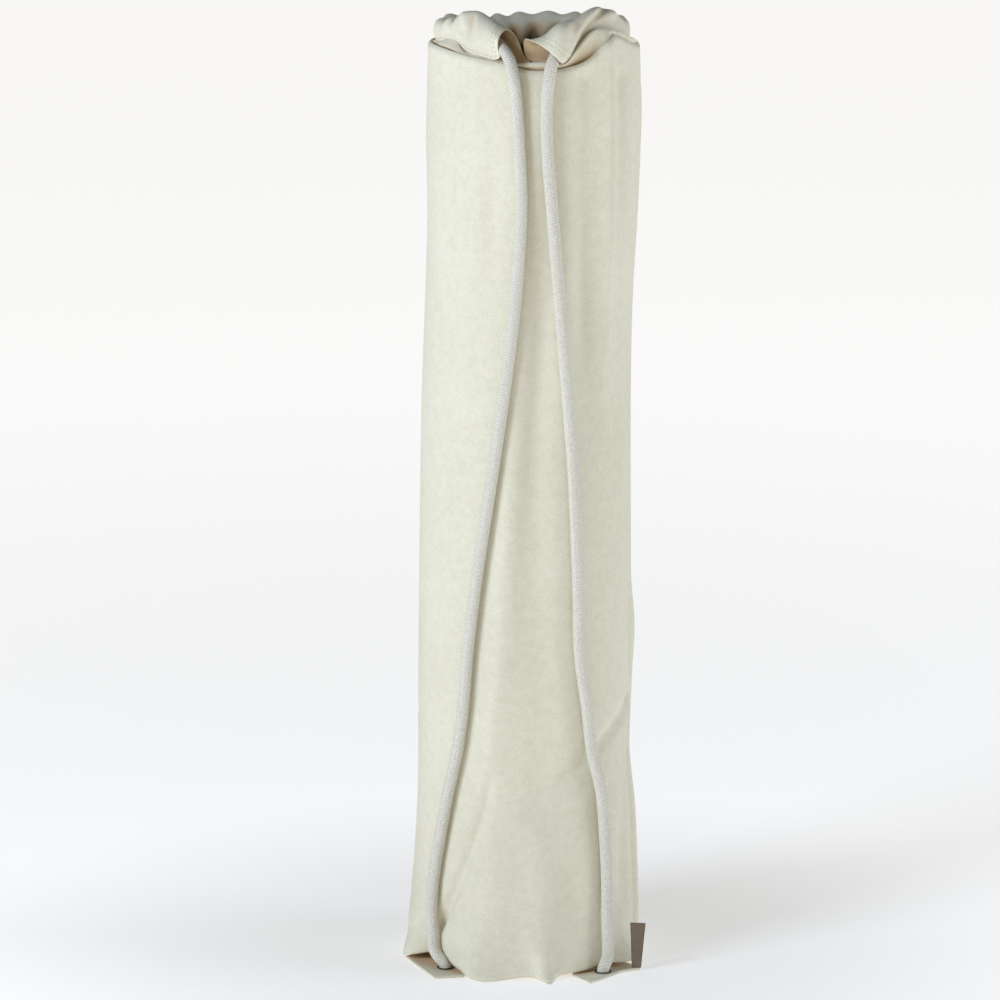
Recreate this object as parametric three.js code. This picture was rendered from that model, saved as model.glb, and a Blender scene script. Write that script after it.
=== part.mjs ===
// A drawstring bag for a rolled yoga mat, standing upright and filled out to a round column.
// Millimetres, +Z up. The origin is on the floor under the middle of the bag's box, and the front
// faces -Y. Angles run round the bag from the front, positive towards +X.

import * as THREE from "three";

// Driving sizes.
const rollRadius = 78; // the filled bag at its waist
const shoulderHeight = 676; // floor to the fold over the end of the roll
const clothWall = 1.5; // cotton canvas
const channelHeight = 30; // the hem that holds the drawstring, from its stitching to its top fold
const channelLift = 1.7; // from the neck's stitched edge to the underside of that hem
const channelHalfDepth = 7.8; // half the thickness of that hem where it is pinched onto the cord
const puffDepth = 3.2; // how much further each gather stands out
const gatherCount = 21; // gathers round a whole ring
const cordDiameter = 8.8;
const cordRest = 0.6; // from the cord to the cloth it lies on
const seat = 0.3; // between pieces that touch
const earWall = 2; // the folded corner of the bag, two layers of canvas
const earSpread = 22; // how far an ear reaches past the roll
const eyeletBore = 10;
const eyeletFlange = 12.8;
const eyeletRise = 0.8;
const labelHeight = 34;
const labelReach = 12; // how far the label stands out of the side seam
const labelWall = 1.6;
const bagBehind = 8.8; // the roll's middle lies this far behind the origin, as the ears lie in front

// How finely the cloth is faceted.
const wallColumns = 48;
const frontShare = 20; // degrees by which the columns crowd towards the front
const channelColumns = 90;
const channelSides = 10;
const endCrowding = 0.6; // share by which a cord's steps are shorter at its ends

const radians = THREE.MathUtils.degToRad;
const cordRadius = cordDiameter / 2;
const earReach = rollRadius + earSpread; // from the middle of the bag to about the tip of an ear

// Outline of the filled bag, a row for each height. up is a share of the shoulder height, and the
// rest are shares of the roll's radius: how far the middle sways to the right, then the half width
// and the depth in front of the middle and behind it.
const sections = [
  { up: 0.0, sway: -0.01, side: 1.07, front: 1.13, back: 0.98 },
  { up: 0.02, sway: -0.01, side: 1.08, front: 1.1, back: 1.0 },
  { up: 0.06, sway: -0.005, side: 1.075, front: 1.055, back: 1.01 },
  { up: 0.11, sway: 0.005, side: 1.05, front: 1.02, back: 1.0 },
  { up: 0.17, sway: 0.01, side: 1.025, front: 0.99, back: 1.0 },
  { up: 0.225, sway: 0.0, side: 1.005, front: 0.98, back: 0.99 },
  { up: 0.28, sway: 0.005, side: 1.01, front: 0.985, back: 0.99 },
  { up: 0.4, sway: 0.01, side: 1.005, front: 0.985, back: 0.99 },
  { up: 0.62, sway: 0.02, side: 0.985, front: 0.98, back: 0.99 },
  { up: 0.73, sway: 0.045, side: 0.975, front: 0.98, back: 0.985 },
  { up: 0.84, sway: 0.085, side: 0.985, front: 0.985, back: 0.985 },
  { up: 0.95, sway: 0.11, side: 0.99, front: 0.985, back: 0.985 },
  { up: 1.0, sway: 0.115, side: 0.98, front: 0.98, back: 0.98 },
];

// Folds and dents in the wall, a row for each. Each runs from one place to another on the unrolled
// cloth, given as an angle in degrees and an up like that of the sections. bow bends its line
// sideways, width is its half width, and start, middle and end are how far it stands out there,
// all as shares of the roll's radius.
const folds = [
  // the shoulders
  { from: [-85, 1.04], to: [-88, 0.8], bow: 0, width: 0.45, start: 0.035, middle: 0.03, end: 0 },
  { from: [92, 1.02], to: [92, 0.93], bow: 0, width: 0.3, start: -0.02, middle: -0.015, end: 0 },
  // between the two cords
  { from: [0, 0.97], to: [-19, 0.22], bow: -0.06, width: 0.12, start: 0.02, middle: 0.055, end: 0.04 },
  { from: [5, 0.97], to: [9, 0.2], bow: 0.04, width: 0.2, start: -0.015, middle: -0.06, end: -0.045 },
  // under the right shoulder
  { from: [26, 0.98], to: [34, 0.6], bow: 0, width: 0.12, start: -0.06, middle: -0.055, end: -0.01 },
  { from: [41, 1.02], to: [49, 0.6], bow: 0, width: 0.085, start: 0.055, middle: 0.055, end: 0.01 },
  { from: [52, 0.98], to: [56, 0.8], bow: 0, width: 0.09, start: -0.035, middle: -0.02, end: 0 },
  // left of the left cord
  { from: [-54, 0.97], to: [-50, 0.74], bow: 0, width: 0.07, start: -0.01, middle: -0.025, end: 0 },
  { from: [-24, 0.96], to: [-22, 0.72], bow: 0, width: 0.09, start: 0, middle: -0.02, end: 0 },
  // the buckle across the lower third
  { from: [82, 0.292], to: [40, 0.245], bow: 0.02, width: 0.075, start: -0.045, middle: -0.05, end: -0.03 },
  { from: [38, 0.24], to: [11, 0.2], bow: 0, width: 0.09, start: -0.03, middle: -0.04, end: 0 },
  { from: [60, 0.235], to: [22, 0.17], bow: 0, width: 0.09, start: 0, middle: 0.025, end: 0 },
  { from: [-92, 0.275], to: [-60, 0.252], bow: 0, width: 0.045, start: -0.02, middle: -0.015, end: 0 },
  // the lower left, down to the cord's eyelet
  { from: [-17, 0.225], to: [-48, 0.05], bow: -0.05, width: 0.06, start: -0.02, middle: -0.045, end: -0.07 },
  { from: [-53, 0.07], to: [-55, 0.0], bow: 0, width: 0.12, start: 0, middle: -0.08, end: -0.16 },
  { from: [-10, 0.17], to: [-19, 0.0], bow: 0, width: 0.22, start: 0, middle: 0.045, end: 0.05 },
  { from: [-25, 0.035], to: [-22, 0.0], bow: 0, width: 0.17, start: 0.02, middle: 0.05, end: 0.09 },
  // the ridge that ends in a point on the floor
  { from: [6, 0.2], to: [9, 0.03], bow: 0, width: 0.13, start: 0, middle: 0.04, end: 0.06 },
  { from: [9, 0.05], to: [12, -0.01], bow: 0, width: 0.075, start: 0, middle: 0.05, end: 0.21 },
  { from: [26, 0.14], to: [27, 0.03], bow: 0, width: 0.14, start: 0, middle: -0.05, end: -0.02 },
  { from: [20, 0.035], to: [34, -0.01], bow: 0, width: 0.16, start: 0, middle: 0.03, end: 0.06 },
  // beside the right seam
  { from: [66, 0.22], to: [60, 0.03], bow: 0, width: 0.075, start: 0, middle: -0.045, end: -0.02 },
  { from: [82, 0.46], to: [79, 0.01], bow: 0, width: 0.035, start: -0.03, middle: -0.055, end: -0.055 },
  { from: [90, 0.43], to: [90, 0.3], bow: 0, width: 0.12, start: 0, middle: 0.035, end: 0.01 },
  { from: [90, 0.25], to: [84, 0.02], bow: 0, width: 0.12, start: 0, middle: 0.03, end: 0.03 },
  // the corners that spread on the floor
  { from: [-76, 0.08], to: [-67, 0.0], bow: 0, width: 0.2, start: 0, middle: 0.05, end: 0.155 },
  { from: [61, 0.09], to: [55, 0.0], bow: 0, width: 0.165, start: 0, middle: 0.06, end: 0.19 },
  // the plain back
  { from: [-150, 0.97], to: [-156, 0.4], bow: 0.04, width: 0.12, start: 0.02, middle: 0.03, end: 0 },
  { from: [166, 0.93], to: [160, 0.12], bow: -0.05, width: 0.14, start: -0.02, middle: -0.035, end: 0 },
  { from: [128, 0.7], to: [134, 0.05], bow: 0, width: 0.13, start: 0, middle: 0.03, end: 0.02 },
  { from: [-118, 0.5], to: [-112, 0.03], bow: 0, width: 0.12, start: 0, middle: -0.035, end: -0.03 },
  { from: [-172, 0.24], to: [-150, 0.19], bow: 0, width: 0.07, start: 0, middle: -0.03, end: 0 },
  { from: [178, 0.16], to: [176, 0.0], bow: 0, width: 0.15, start: 0, middle: 0.03, end: 0.05 },
];

// Height of the wall's foot over the floor, by angle, as a share of the roll's radius.
const foot = [
  { angle: -180, lift: 0 },
  { angle: -125, lift: 0 },
  { angle: -100, lift: 0.02 },
  { angle: -86, lift: 0.04 },
  { angle: -72, lift: 0.05 },
  { angle: -58, lift: 0.12 },
  { angle: -51, lift: 0.18 },
  { angle: -46, lift: 0.17 },
  { angle: -42, lift: 0.14 },
  { angle: -38, lift: 0.085 },
  { angle: -31, lift: 0.045 },
  { angle: -25, lift: 0.015 },
  { angle: -14, lift: 0 },
  { angle: 1, lift: 0.03 },
  { angle: 7, lift: 0.02 },
  { angle: 12, lift: 0 },
  { angle: 20, lift: 0.035 },
  { angle: 32, lift: 0.055 },
  { angle: 46, lift: 0.082 },
  { angle: 62, lift: 0.072 },
  { angle: 78, lift: 0.045 },
  { angle: 100, lift: 0.01 },
  { angle: 125, lift: 0 },
];

// The gathered end above the wall, a row for each angle. wallTop, ridgeUp, stitchUp and topUp are
// heights over the shoulder as shares of the channel's height. tuck, ridge, stitch and top are
// shares of the roll's radius: how far the cloth tucks in under its own fold, then the radius of
// the neck's ridge, of the channel's stitching and of its top fold. gather fades the gathers out.
const rimColumns = ["angle", "wallTop", "tuck", "ridge", "ridgeUp", "stitch", "stitchUp", "top", "topUp", "gather"];
const rim = [
  [-180, 0.13, 0.06, 0.9, 0.12, 0.79, 0.14, 0.67, 0.55, 1],
  [-150, 0.13, 0.06, 0.9, 0.12, 0.79, 0.14, 0.67, 0.5, 1],
  [-120, 0.16, 0.06, 0.92, 0.18, 0.84, 0.2, 0.7, 0.58, 1],
  [-95, 0.17, 0.05, 0.955, 0.24, 0.91, 0.28, 0.735, 0.71, 1],
  [-75, 0.18, 0.05, 0.96, 0.28, 0.91, 0.36, 0.74, 0.8, 0.6],
  [-62, 0.16, 0.06, 0.955, 0.28, 0.89, 0.46, 0.73, 0.93, 0.2],
  [-54, 0.13, 0.06, 0.95, 0.23, 0.89, 0.38, 0.72, 1.04, 0.1],
  [-47, 0.1, 0.06, 0.94, 0.15, 0.9, 0.22, 0.72, 1.12, 0.05],
  [-36, 0.05, 0.05, 0.935, 0.09, 0.92, 0.15, 0.74, 1.03, 0],
  [-24, -0.01, 0.05, 0.945, 0.02, 0.935, 0.07, 0.79, 0.88, 0],
  [-13, -0.1, 0.05, 0.945, -0.02, 0.94, 0.03, 0.83, 0.72, 0],
  [-4, -0.19, 0.05, 0.94, -0.02, 0.925, 0.06, 0.845, 0.58, 0],
  [4, -0.2, 0.05, 0.94, -0.02, 0.93, 0.06, 0.84, 0.68, 0],
  [10, -0.18, 0.05, 0.945, -0.05, 0.945, 0.01, 0.8, 0.84, 0],
  [16, -0.14, 0.045, 0.95, 0.0, 0.93, 0.08, 0.77, 0.93, 0],
  [24, -0.07, 0.05, 0.95, 0.38, 0.885, 0.38, 0.745, 1.0, 0],
  [32, 0.1, 0.035, 0.94, 0.7, 0.84, 0.62, 0.72, 1.07, 0],
  [40, 0.42, 0.01, 0.92, 0.8, 0.81, 0.66, 0.7, 1.16, 0.1],
  [48, 0.55, 0.0, 0.93, 0.74, 0.81, 0.6, 0.69, 1.2, 0.15],
  [58, 0.4, 0.0, 0.95, 0.58, 0.82, 0.46, 0.69, 1.12, 0.2],
  [70, 0.22, 0.0, 0.965, 0.4, 0.83, 0.38, 0.7, 0.86, 0.4],
  [82, 0.16, 0.015, 0.94, 0.26, 0.85, 0.28, 0.7, 0.66, 0.8],
  [97, 0.13, 0.05, 0.92, 0.2, 0.85, 0.22, 0.69, 0.64, 1],
  [112, 0.13, 0.06, 0.91, 0.18, 0.84, 0.2, 0.68, 0.62, 1],
  [135, 0.13, 0.06, 0.9, 0.16, 0.8, 0.18, 0.68, 0.58, 1],
  [158, 0.13, 0.06, 0.9, 0.12, 0.79, 0.14, 0.67, 0.56, 1],
].map((row) => Object.fromEntries(row.map((value, i) => [rimColumns[i], value])));

// Single pleats in the channel, a row for each, slanting from an angle at the stitching to one at
// the top fold. width is in degrees, and push is how far the outer layer stands out, or goes in
// where it is less than nothing, as a share of the channel's height.
const pleats = [
  { low: -50, high: -61, width: 4, push: -0.12 },
  { low: -44, high: -53, width: 5, push: 0.1 },
  { low: -18, high: -22, width: 8, push: 0.2 },
  { low: 14, high: 13, width: 7, push: 0.4 },
  { low: 14, high: 44, width: 6, push: 0.12 },
  { low: 20, high: 57, width: 2.6, push: -0.2 },
  { low: 32, high: 67, width: 6, push: 0.1 },
];

// Pulls on the channel's cloth, a row for each: a soft patch round a place, given as an angle and a
// round like that of the channel's ends, with a half width in degrees and a half height round the
// section. twist is how far the cloth moves there in degrees, and out and up how far it moves
// outwards and upwards, as shares of the channel's height.
const pulls = [
  { angle: -84, round: 0.3, wide: 14, tall: 0.25, twist: 0, out: 0.12, up: -0.1 },
  { angle: -64, round: 0.4, wide: 3.5, tall: 0.12, twist: 0, out: -0.1, up: -0.12 },
  { angle: -57, round: 0.3, wide: 4, tall: 0.2, twist: -1.5, out: 0.06, up: 0.03 },
  { angle: -46, round: 0.28, wide: 4.5, tall: 0.12, twist: 0, out: -0.12, up: 0 },
  { angle: -21, round: 0.35, wide: 11, tall: 0.1, twist: 0, out: 0.0, up: -0.13 },
  { angle: 8, round: 0.17, wide: 10, tall: 0.1, twist: -1, out: 0.2, up: -0.28 },
  { angle: 3, round: 0.3, wide: 9, tall: 0.1, twist: 0, out: 0.1, up: -0.08 },
  { angle: 180, round: 0.76, wide: 70, tall: 0.11, twist: 0, out: -0.03, up: -0.24 },
];

// Where each end of the channel is cut, going round its section from the stitching (0) over the
// outer layer (0.25), the top fold (0.5) and the inner layer (0.75) back to the stitching (1).
const channelEnds = [
  { round: 0.0, left: -33, right: 28 },
  { round: 0.1, left: -21.6, right: 16 },
  { round: 0.2, left: -21.6, right: 11 },
  { round: 0.3, left: -21.0, right: 4 },
  { round: 0.4, left: -20, right: -2 },
  { round: 0.5, left: -18, right: -7 },
  { round: 0.6, left: -14, right: -9 },
  { round: 0.7, left: -11, right: -9 },
  { round: 0.8, left: -8, right: -7 },
  { round: 0.9, left: -4, right: -2 },
  { round: 0.95, left: -11, right: 8 },
  { round: 1.0, left: -33, right: 28 },
];

// Routes of the two free runs of the cord down the front: the angle it lies at, by height, and how
// far it stands off the cloth more than where it lies. up is a share of the shoulder height.
const leftRoute = [
  { up: 1.007, angle: -15.0, off: 1.2 },
  { up: 0.985, angle: -11.6, off: 1.6 },
  { up: 0.962, angle: -10.2, off: 0.4 },
  { up: 0.91, angle: -8.2, off: 0 },
  { up: 0.85, angle: -6.4, off: 0 },
  { up: 0.78, angle: -6.8, off: 0 },
  { up: 0.71, angle: -8.6, off: 0 },
  { up: 0.64, angle: -12.0, off: 0 },
  { up: 0.57, angle: -16.5, off: 0 },
  { up: 0.5, angle: -21.5, off: 0 },
  { up: 0.43, angle: -26.5, off: 0 },
  { up: 0.36, angle: -30.5, off: 0 },
  { up: 0.3, angle: -33.0, off: 0 },
  { up: 0.25, angle: -36.5, off: 0 },
  { up: 0.2, angle: -42.5, off: 0.4 },
  { up: 0.15, angle: -47.5, off: 0.4 },
  { up: 0.1, angle: -50.5, off: 0.6 },
  { up: 0.065, angle: -50.5, off: 0.8 },
  { up: 0.035, angle: -50.0, off: 0.8 },
];
const rightRoute = [
  { up: 1.004, angle: 8.0, off: 1.2 },
  { up: 0.985, angle: 5.8, off: 1.6 },
  { up: 0.962, angle: 4.8, off: 0.4 },
  { up: 0.91, angle: 5.8, off: 0 },
  { up: 0.85, angle: 9.0, off: 0 },
  { up: 0.78, angle: 13.3, off: 0 },
  { up: 0.71, angle: 17.6, off: 0 },
  { up: 0.64, angle: 21.4, off: 0 },
  { up: 0.57, angle: 24.6, off: 0 },
  { up: 0.5, angle: 26.5, off: 0 },
  { up: 0.43, angle: 28.0, off: 0 },
  { up: 0.36, angle: 29.0, off: 0 },
  { up: 0.3, angle: 33.0, off: 0.8 },
  { up: 0.25, angle: 37.0, off: 1.0 },
  { up: 0.2, angle: 41.5, off: 0.6 },
  { up: 0.15, angle: 43.8, off: 0.6 },
  { up: 0.1, angle: 44.6, off: 0.6 },
  { up: 0.06, angle: 43.2, off: 1.8 },
];

// How each run bends over its eyelet: share is how far along the way there from its last place, and
// height and out, how far it swings out from the bag, are in millimetres.
const cordBends = [
  { share: 0.16, height: 16.8, out: 1.8 },
  { share: 0.52, height: 11.4, out: 2.4 },
  { share: 0.88, height: 7.4, out: 1.4 },
  { share: 1.0, height: 4.0, out: 0.2 },
];

// The flat corners of the bag that lie on the floor, as angles and shares of the ears' reach. The
// first and last points are under the wall.
const leftEar = {
  outline: [
    { angle: -79, out: 0.71 },
    { angle: -72, out: 0.93 },
    { angle: -37, out: 1.09 },
    { angle: -28.5, out: 0.93 },
    { angle: -34, out: 0.7 },
    { angle: -58, out: 0.69 },
  ],
  eyelet: { angle: -43, out: 0.85 },
};
const rightEar = {
  outline: [
    { angle: 24, out: 0.87 },
    { angle: 26, out: 1.1 },
    { angle: 33.5, out: 1.05 },
    { angle: 46.5, out: 1.0 },
    { angle: 54.3, out: 1.06 },
    { angle: 60, out: 0.86 },
    { angle: 56, out: 0.7 },
    { angle: 38, out: 0.7 },
    { angle: 28, out: 0.78 },
  ],
  eyelet: { angle: 38.5, out: 0.935 },
};

// The value of one column of a table at a place, along a smooth curve through its rows.
function lookup(table, key, column, place, turn = 0) {
  const count = table.length;
  const at = (i) => {
    const wrapped = THREE.MathUtils.euclideanModulo(i, count);
    const row = table[turn ? wrapped : THREE.MathUtils.clamp(i, 0, count - 1)];
    return [row[key] + (turn ? Math.floor(i / count) * turn : 0), row[column]];
  };
  const start = turn ? table[0][key] : -Infinity;
  const where = turn
    ? start + THREE.MathUtils.euclideanModulo(place - start, turn)
    : THREE.MathUtils.clamp(place, table[0][key], table[count - 1][key]);
  let i = 0;
  while (i < count - (turn ? 1 : 2) && at(i + 1)[0] <= where) i += 1;
  const [[x0, y0], [x1, y1], [x2, y2], [x3, y3]] = [at(i - 1), at(i), at(i + 1), at(i + 2)];
  const span = x2 - x1;
  const slope1 = ((y2 - y0) / (x2 - x0)) * span;
  const slope2 = ((y3 - y1) / (x3 - x1)) * span;
  const t = (where - x1) / span;
  const t2 = t * t;
  const t3 = t2 * t;
  return (
    y1 * (2 * t3 - 3 * t2 + 1) + slope1 * (t3 - 2 * t2 + t) + y2 * (3 * t2 - 2 * t3) + slope2 * (t3 - t2)
  );
}

// How far all the folds together push the wall out at an angle in degrees and a height.
function foldHeight(angle, height) {
  let sum = 0;
  for (const fold of folds) {
    const middleAngle = (fold.from[0] + fold.to[0]) / 2;
    const turned = THREE.MathUtils.euclideanModulo(angle - middleAngle + 180, 360) - 180 + middleAngle;
    const from = new THREE.Vector2(radians(fold.from[0]) * rollRadius, fold.from[1] * shoulderHeight);
    const line = new THREE.Vector2(radians(fold.to[0]) * rollRadius, fold.to[1] * shoulderHeight).sub(from);
    const here = new THREE.Vector2(radians(turned) * rollRadius, height).sub(from);
    const length = line.length();
    const along = here.dot(line) / length;
    const share = THREE.MathUtils.clamp(along / length, 0, 1);
    const beyond = along - share * length;
    const bend = fold.bow * rollRadius * 4 * share * (1 - share);
    const across = here.cross(line) / length - bend;
    const width = fold.width * rollRadius;
    const half = Math.min(1, 2 * Math.abs(share - 0.5));
    const tip = share < 0.5 ? fold.start : fold.end;
    const height3 = THREE.MathUtils.lerp(fold.middle, tip, THREE.MathUtils.smoothstep(half, 0, 1));
    sum += height3 * rollRadius * Math.exp(-(across * across + beyond * beyond) / (width * width));
  }
  return sum;
}

// A point of the wall's outside at an angle in degrees and a height.
function wallPoint(angle, height) {
  const up = height / shoulderHeight;
  const size = (column) => lookup(sections, "up", column, up) * rollRadius;
  const turn = radians(angle);
  const out = foldHeight(angle, height);
  const depth = Math.cos(turn) > 0 ? size("front") : size("back");
  return new THREE.Vector3(
    size("sway") + (size("side") + out) * Math.sin(turn),
    -(depth + out) * Math.cos(turn),
    height,
  );
}

const rimAt = (angle, column) => lookup(rim, "angle", column, angle, 360);
const rimHeight = (angle, column) => shoulderHeight + rimAt(angle, column) * channelHeight;
const footHeight = (angle) => Math.max(0, lookup(foot, "angle", "lift", angle, 360) * rollRadius);
const mouthMiddle = new THREE.Vector3(lookup(sections, "up", "sway", 1) * rollRadius, 0, 0);

// A point round the mouth's middle, from an angle in degrees, a radius and a height.
function roundMouth(angle, radius, height) {
  const turn = radians(angle);
  return new THREE.Vector3(radius * Math.sin(turn), -radius * Math.cos(turn), height).add(mouthMiddle);
}

// The gathers' wave at an angle, from -1 between two gathers to 1 on top of one. Its beats are uneven.
function gatherWave(angle) {
  const turn = radians(angle);
  return Math.cos(gatherCount * turn + 0.9 * Math.sin(3 * turn + 1) + 0.6 * Math.sin(5 * turn));
}

// The neck from the wall's top to the channel's stitching: 0 is the wall's top and 1 the stitching.
function neckPoint(angle, share) {
  const wallTop = rimHeight(angle, "wallTop");
  const outer = wallPoint(angle, wallTop).sub(mouthMiddle).setZ(0).length();
  const tuck = rimAt(angle, "tuck") * rollRadius;
  const fold = 2 * clothWall;
  const ridge = new THREE.Vector2(rimAt(angle, "ridge") * rollRadius, rimHeight(angle, "ridgeUp"));
  const stitch = new THREE.Vector2(rimAt(angle, "stitch") * rollRadius, rimHeight(angle, "stitchUp"));
  const profile = new THREE.SplineCurve([
    new THREE.Vector2(outer, wallTop),
    new THREE.Vector2(outer - fold * 0.6, wallTop + fold * 0.7),
    new THREE.Vector2(outer - fold - tuck * 0.6, wallTop + fold * 0.7 - tuck * 0.35),
    ridge,
    stitch,
  ]);
  const here = profile.getPoint(share);
  const wave = gatherWave(angle) * rimAt(angle, "gather") * THREE.MathUtils.smoothstep(share, 0.3, 1);
  return roundMouth(angle, here.x + wave * 0.55 * puffDepth, here.y);
}

// A point of the channel's outside: round goes from the stitching over the outer layer, the top
// fold and the inner layer back to the stitching.
function channelPoint(angle, round) {
  const low = new THREE.Vector2(rimAt(angle, "stitch") * rollRadius, rimHeight(angle, "stitchUp") + channelLift);
  const top = new THREE.Vector2(rimAt(angle, "top") * rollRadius, rimHeight(angle, "topUp"));
  const middle = low.clone().add(top).multiplyScalar(0.5);
  const upwards = top.clone().sub(low).multiplyScalar(0.5);
  const outwards = new THREE.Vector2(upwards.y, -upwards.x).normalize();
  const turn = 2 * Math.PI * round;
  const gather = rimAt(angle, "gather");
  const puff = (0.5 + 0.5 * gatherWave(angle)) * gather * puffDepth;
  let depth = (channelHalfDepth + puff) * (1 - 0.12 * Math.cos(turn));
  const level = 0.5 - 0.5 * Math.cos(turn);
  if (Math.sin(turn) > 0) {
    for (const pleat of pleats) {
      const line = THREE.MathUtils.lerp(pleat.low, pleat.high, level);
      const away = (THREE.MathUtils.euclideanModulo(angle - line + 180, 360) - 180) / pleat.width;
      depth += pleat.push * channelHeight * Math.exp(-away * away) * (0.4 + 0.6 * level);
    }
    depth = Math.max(depth, channelHalfDepth - puffDepth * 0.2);
  }
  const reach = 1 + (0.12 * puff) / puffDepth;
  const here = middle
    .clone()
    .addScaledVector(upwards, -Math.cos(turn) * (Math.cos(turn) < 0 ? reach : 1))
    .addScaledVector(outwards, depth * Math.sin(turn));
  let twist = 0;
  for (const pull of pulls) {
    const away = (THREE.MathUtils.euclideanModulo(angle - pull.angle + 180, 360) - 180) / pull.wide;
    const along = (THREE.MathUtils.euclideanModulo(round - pull.round + 0.5, 1) - 0.5) / pull.tall;
    const near = Math.exp(-away * away - along * along);
    twist += near * pull.twist;
    here.x += near * pull.out * channelHeight;
    here.y += near * pull.up * channelHeight;
  }
  return roundMouth(angle + twist, here.x, here.y);
}

// The line down the middle of the channel, where the cord lies in it: the mean of its section.
function channelMiddle(angle) {
  const middle = new THREE.Vector3();
  for (let k = 0; k < 8; k += 1) middle.addScaledVector(channelPoint(angle, k / 8), 1 / 8);
  return middle;
}

// The middle of the cord at an angle and a height, where a ball of its size rests on the cloth.
function cordOnCloth(angle, height, off) {
  const reach = cordRadius + cordRest;
  const middle = new THREE.Vector3(lookup(sections, "up", "sway", height / shoulderHeight) * rollRadius, 0, height);
  const turn = radians(angle);
  const outwards = new THREE.Vector3(Math.sin(turn), -Math.cos(turn), 0);
  let radius = 0;
  const touch = (point) => {
    const away = point.sub(middle);
    const along = away.dot(outwards);
    const aside = away.lengthSq() - along * along;
    if (aside < reach * reach) radius = Math.max(radius, along + Math.sqrt(reach * reach - aside));
  };
  for (let step = -4; step <= 4; step += 1) {
    const near = angle + (step / 4) * THREE.MathUtils.radToDeg(reach / rollRadius);
    const top = rimHeight(near, "wallTop");
    for (let rise = -4; rise <= 4; rise += 1) touch(wallPoint(near, Math.min(top, height + (rise / 4) * reach)));
    if (height + reach > top) for (let k = 0; k <= 10; k += 1) touch(neckPoint(near, k / 10));
  }
  return outwards.multiplyScalar(radius + off).add(middle);
}

// A closed solid from a sheet of points and triangles, thickened inwards.
function thicken(points, triangles, wall) {
  const sheet = new THREE.BufferGeometry().setFromPoints(points);
  sheet.setIndex(triangles.flat());
  sheet.computeVertexNormals();
  const normals = sheet.getAttribute("normal");
  const count = points.length;
  const inner = points.map((point, i) =>
    point.clone().addScaledVector(new THREE.Vector3().fromBufferAttribute(normals, i), -wall),
  );
  const faces = triangles.concat(triangles.map(([a, b, c]) => [a + count, c + count, b + count]));
  const used = new Set(triangles.flatMap(([a, b, c]) => [`${a}_${b}`, `${b}_${c}`, `${c}_${a}`]));
  for (const edge of used) {
    const [a, b] = edge.split("_").map(Number);
    if (!used.has(`${b}_${a}`)) faces.push([b, a, a + count], [b, a + count, b + count]);
  }
  return new THREE.BufferGeometry().setFromPoints(points.concat(inner)).setIndex(faces.flat());
}

// Triangles between two rings of points. The upper ring has as many points, or twice as many.
function bandTriangles(lowStart, lowCount, highStart, highCount) {
  const triangles = [];
  for (let i = 0; i < lowCount; i += 1) {
    const a = lowStart + i;
    const b = lowStart + ((i + 1) % lowCount);
    if (highCount === lowCount) {
      const c = highStart + i;
      const d = highStart + ((i + 1) % highCount);
      triangles.push([a, b, d], [a, d, c]);
    } else {
      const c = highStart + 2 * i;
      const d = c + 1;
      const e = highStart + ((2 * i + 2) % highCount);
      triangles.push([a, d, c], [a, b, d], [b, e, d]);
    }
  }
  return triangles;
}

// The bag from the middle of its floor up to the stitching of the channel.
function makeBag() {
  const rings = [];
  const ring = (columns, place) => {
    const crowd = (turn) => 360 * turn - frontShare * Math.sin(2 * Math.PI * turn);
    rings.push(Array.from({ length: columns }, (_, i) => place(crowd(i / columns))));
  };
  const footPoint = (angle) => wallPoint(angle, footHeight(angle));
  const middle = new THREE.Vector3(0, 0, 0);
  for (const share of [0.4, 0.66, 0.82]) {
    ring(wallColumns, (angle) => {
      const edge = footPoint(angle);
      const raised = edge.z * THREE.MathUtils.smoothstep(share, 0.6, 0.84);
      return edge.multiplyScalar(share).setZ(raised);
    });
  }
  const wallLevels = [0, 0.015, 0.04, 0.08, 0.13, 0.175, 0.21, 0.24, 0.27, 0.31, 0.4, 0.52, 0.65, 0.78, 0.88, 0.94];
  for (const level of wallLevels) {
    ring(wallColumns, (angle) => {
      const low = footHeight(angle);
      const height = THREE.MathUtils.lerp(low, rimHeight(angle, "wallTop"), level);
      return wallPoint(angle, height);
    });
  }
  ring(2 * wallColumns, (angle) => {
    const height = THREE.MathUtils.lerp(footHeight(angle), rimHeight(angle, "wallTop"), 0.975);
    return wallPoint(angle, height);
  });
  for (const share of [0, 0.25, 0.5, 0.75, 1]) ring(2 * wallColumns, (angle) => neckPoint(angle, share));

  const points = [middle].concat(rings.flat());
  const triangles = [];
  let start = 1;
  for (let i = 0; i < wallColumns; i += 1) triangles.push([0, 1 + ((i + 1) % wallColumns), 1 + i]);
  for (let i = 0; i + 1 < rings.length; i += 1) {
    const next = start + rings[i].length;
    triangles.push(...bandTriangles(start, rings[i].length, next, rings[i + 1].length));
    start = next;
  }
  return thicken(points, triangles, clothWall);
}

// The hem that holds the drawstring, a ring with two open ends at the front.
function makeChannel() {
  const points = [];
  const triangles = [];
  for (let i = 0; i <= channelColumns; i += 1) {
    for (let j = 0; j < channelSides; j += 1) {
      const round = j / channelSides;
      const left = lookup(channelEnds, "round", "left", round);
      const right = lookup(channelEnds, "round", "right", round);
      points.push(channelPoint(THREE.MathUtils.lerp(left, right - 360, i / channelColumns), round));
      if (i < channelColumns) {
        const a = i * channelSides + j;
        const b = i * channelSides + ((j + 1) % channelSides);
        triangles.push([a, b, b + channelSides], [a, b + channelSides, a + channelSides]);
      }
    }
  }
  return thicken(points, triangles, clothWall);
}

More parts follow.
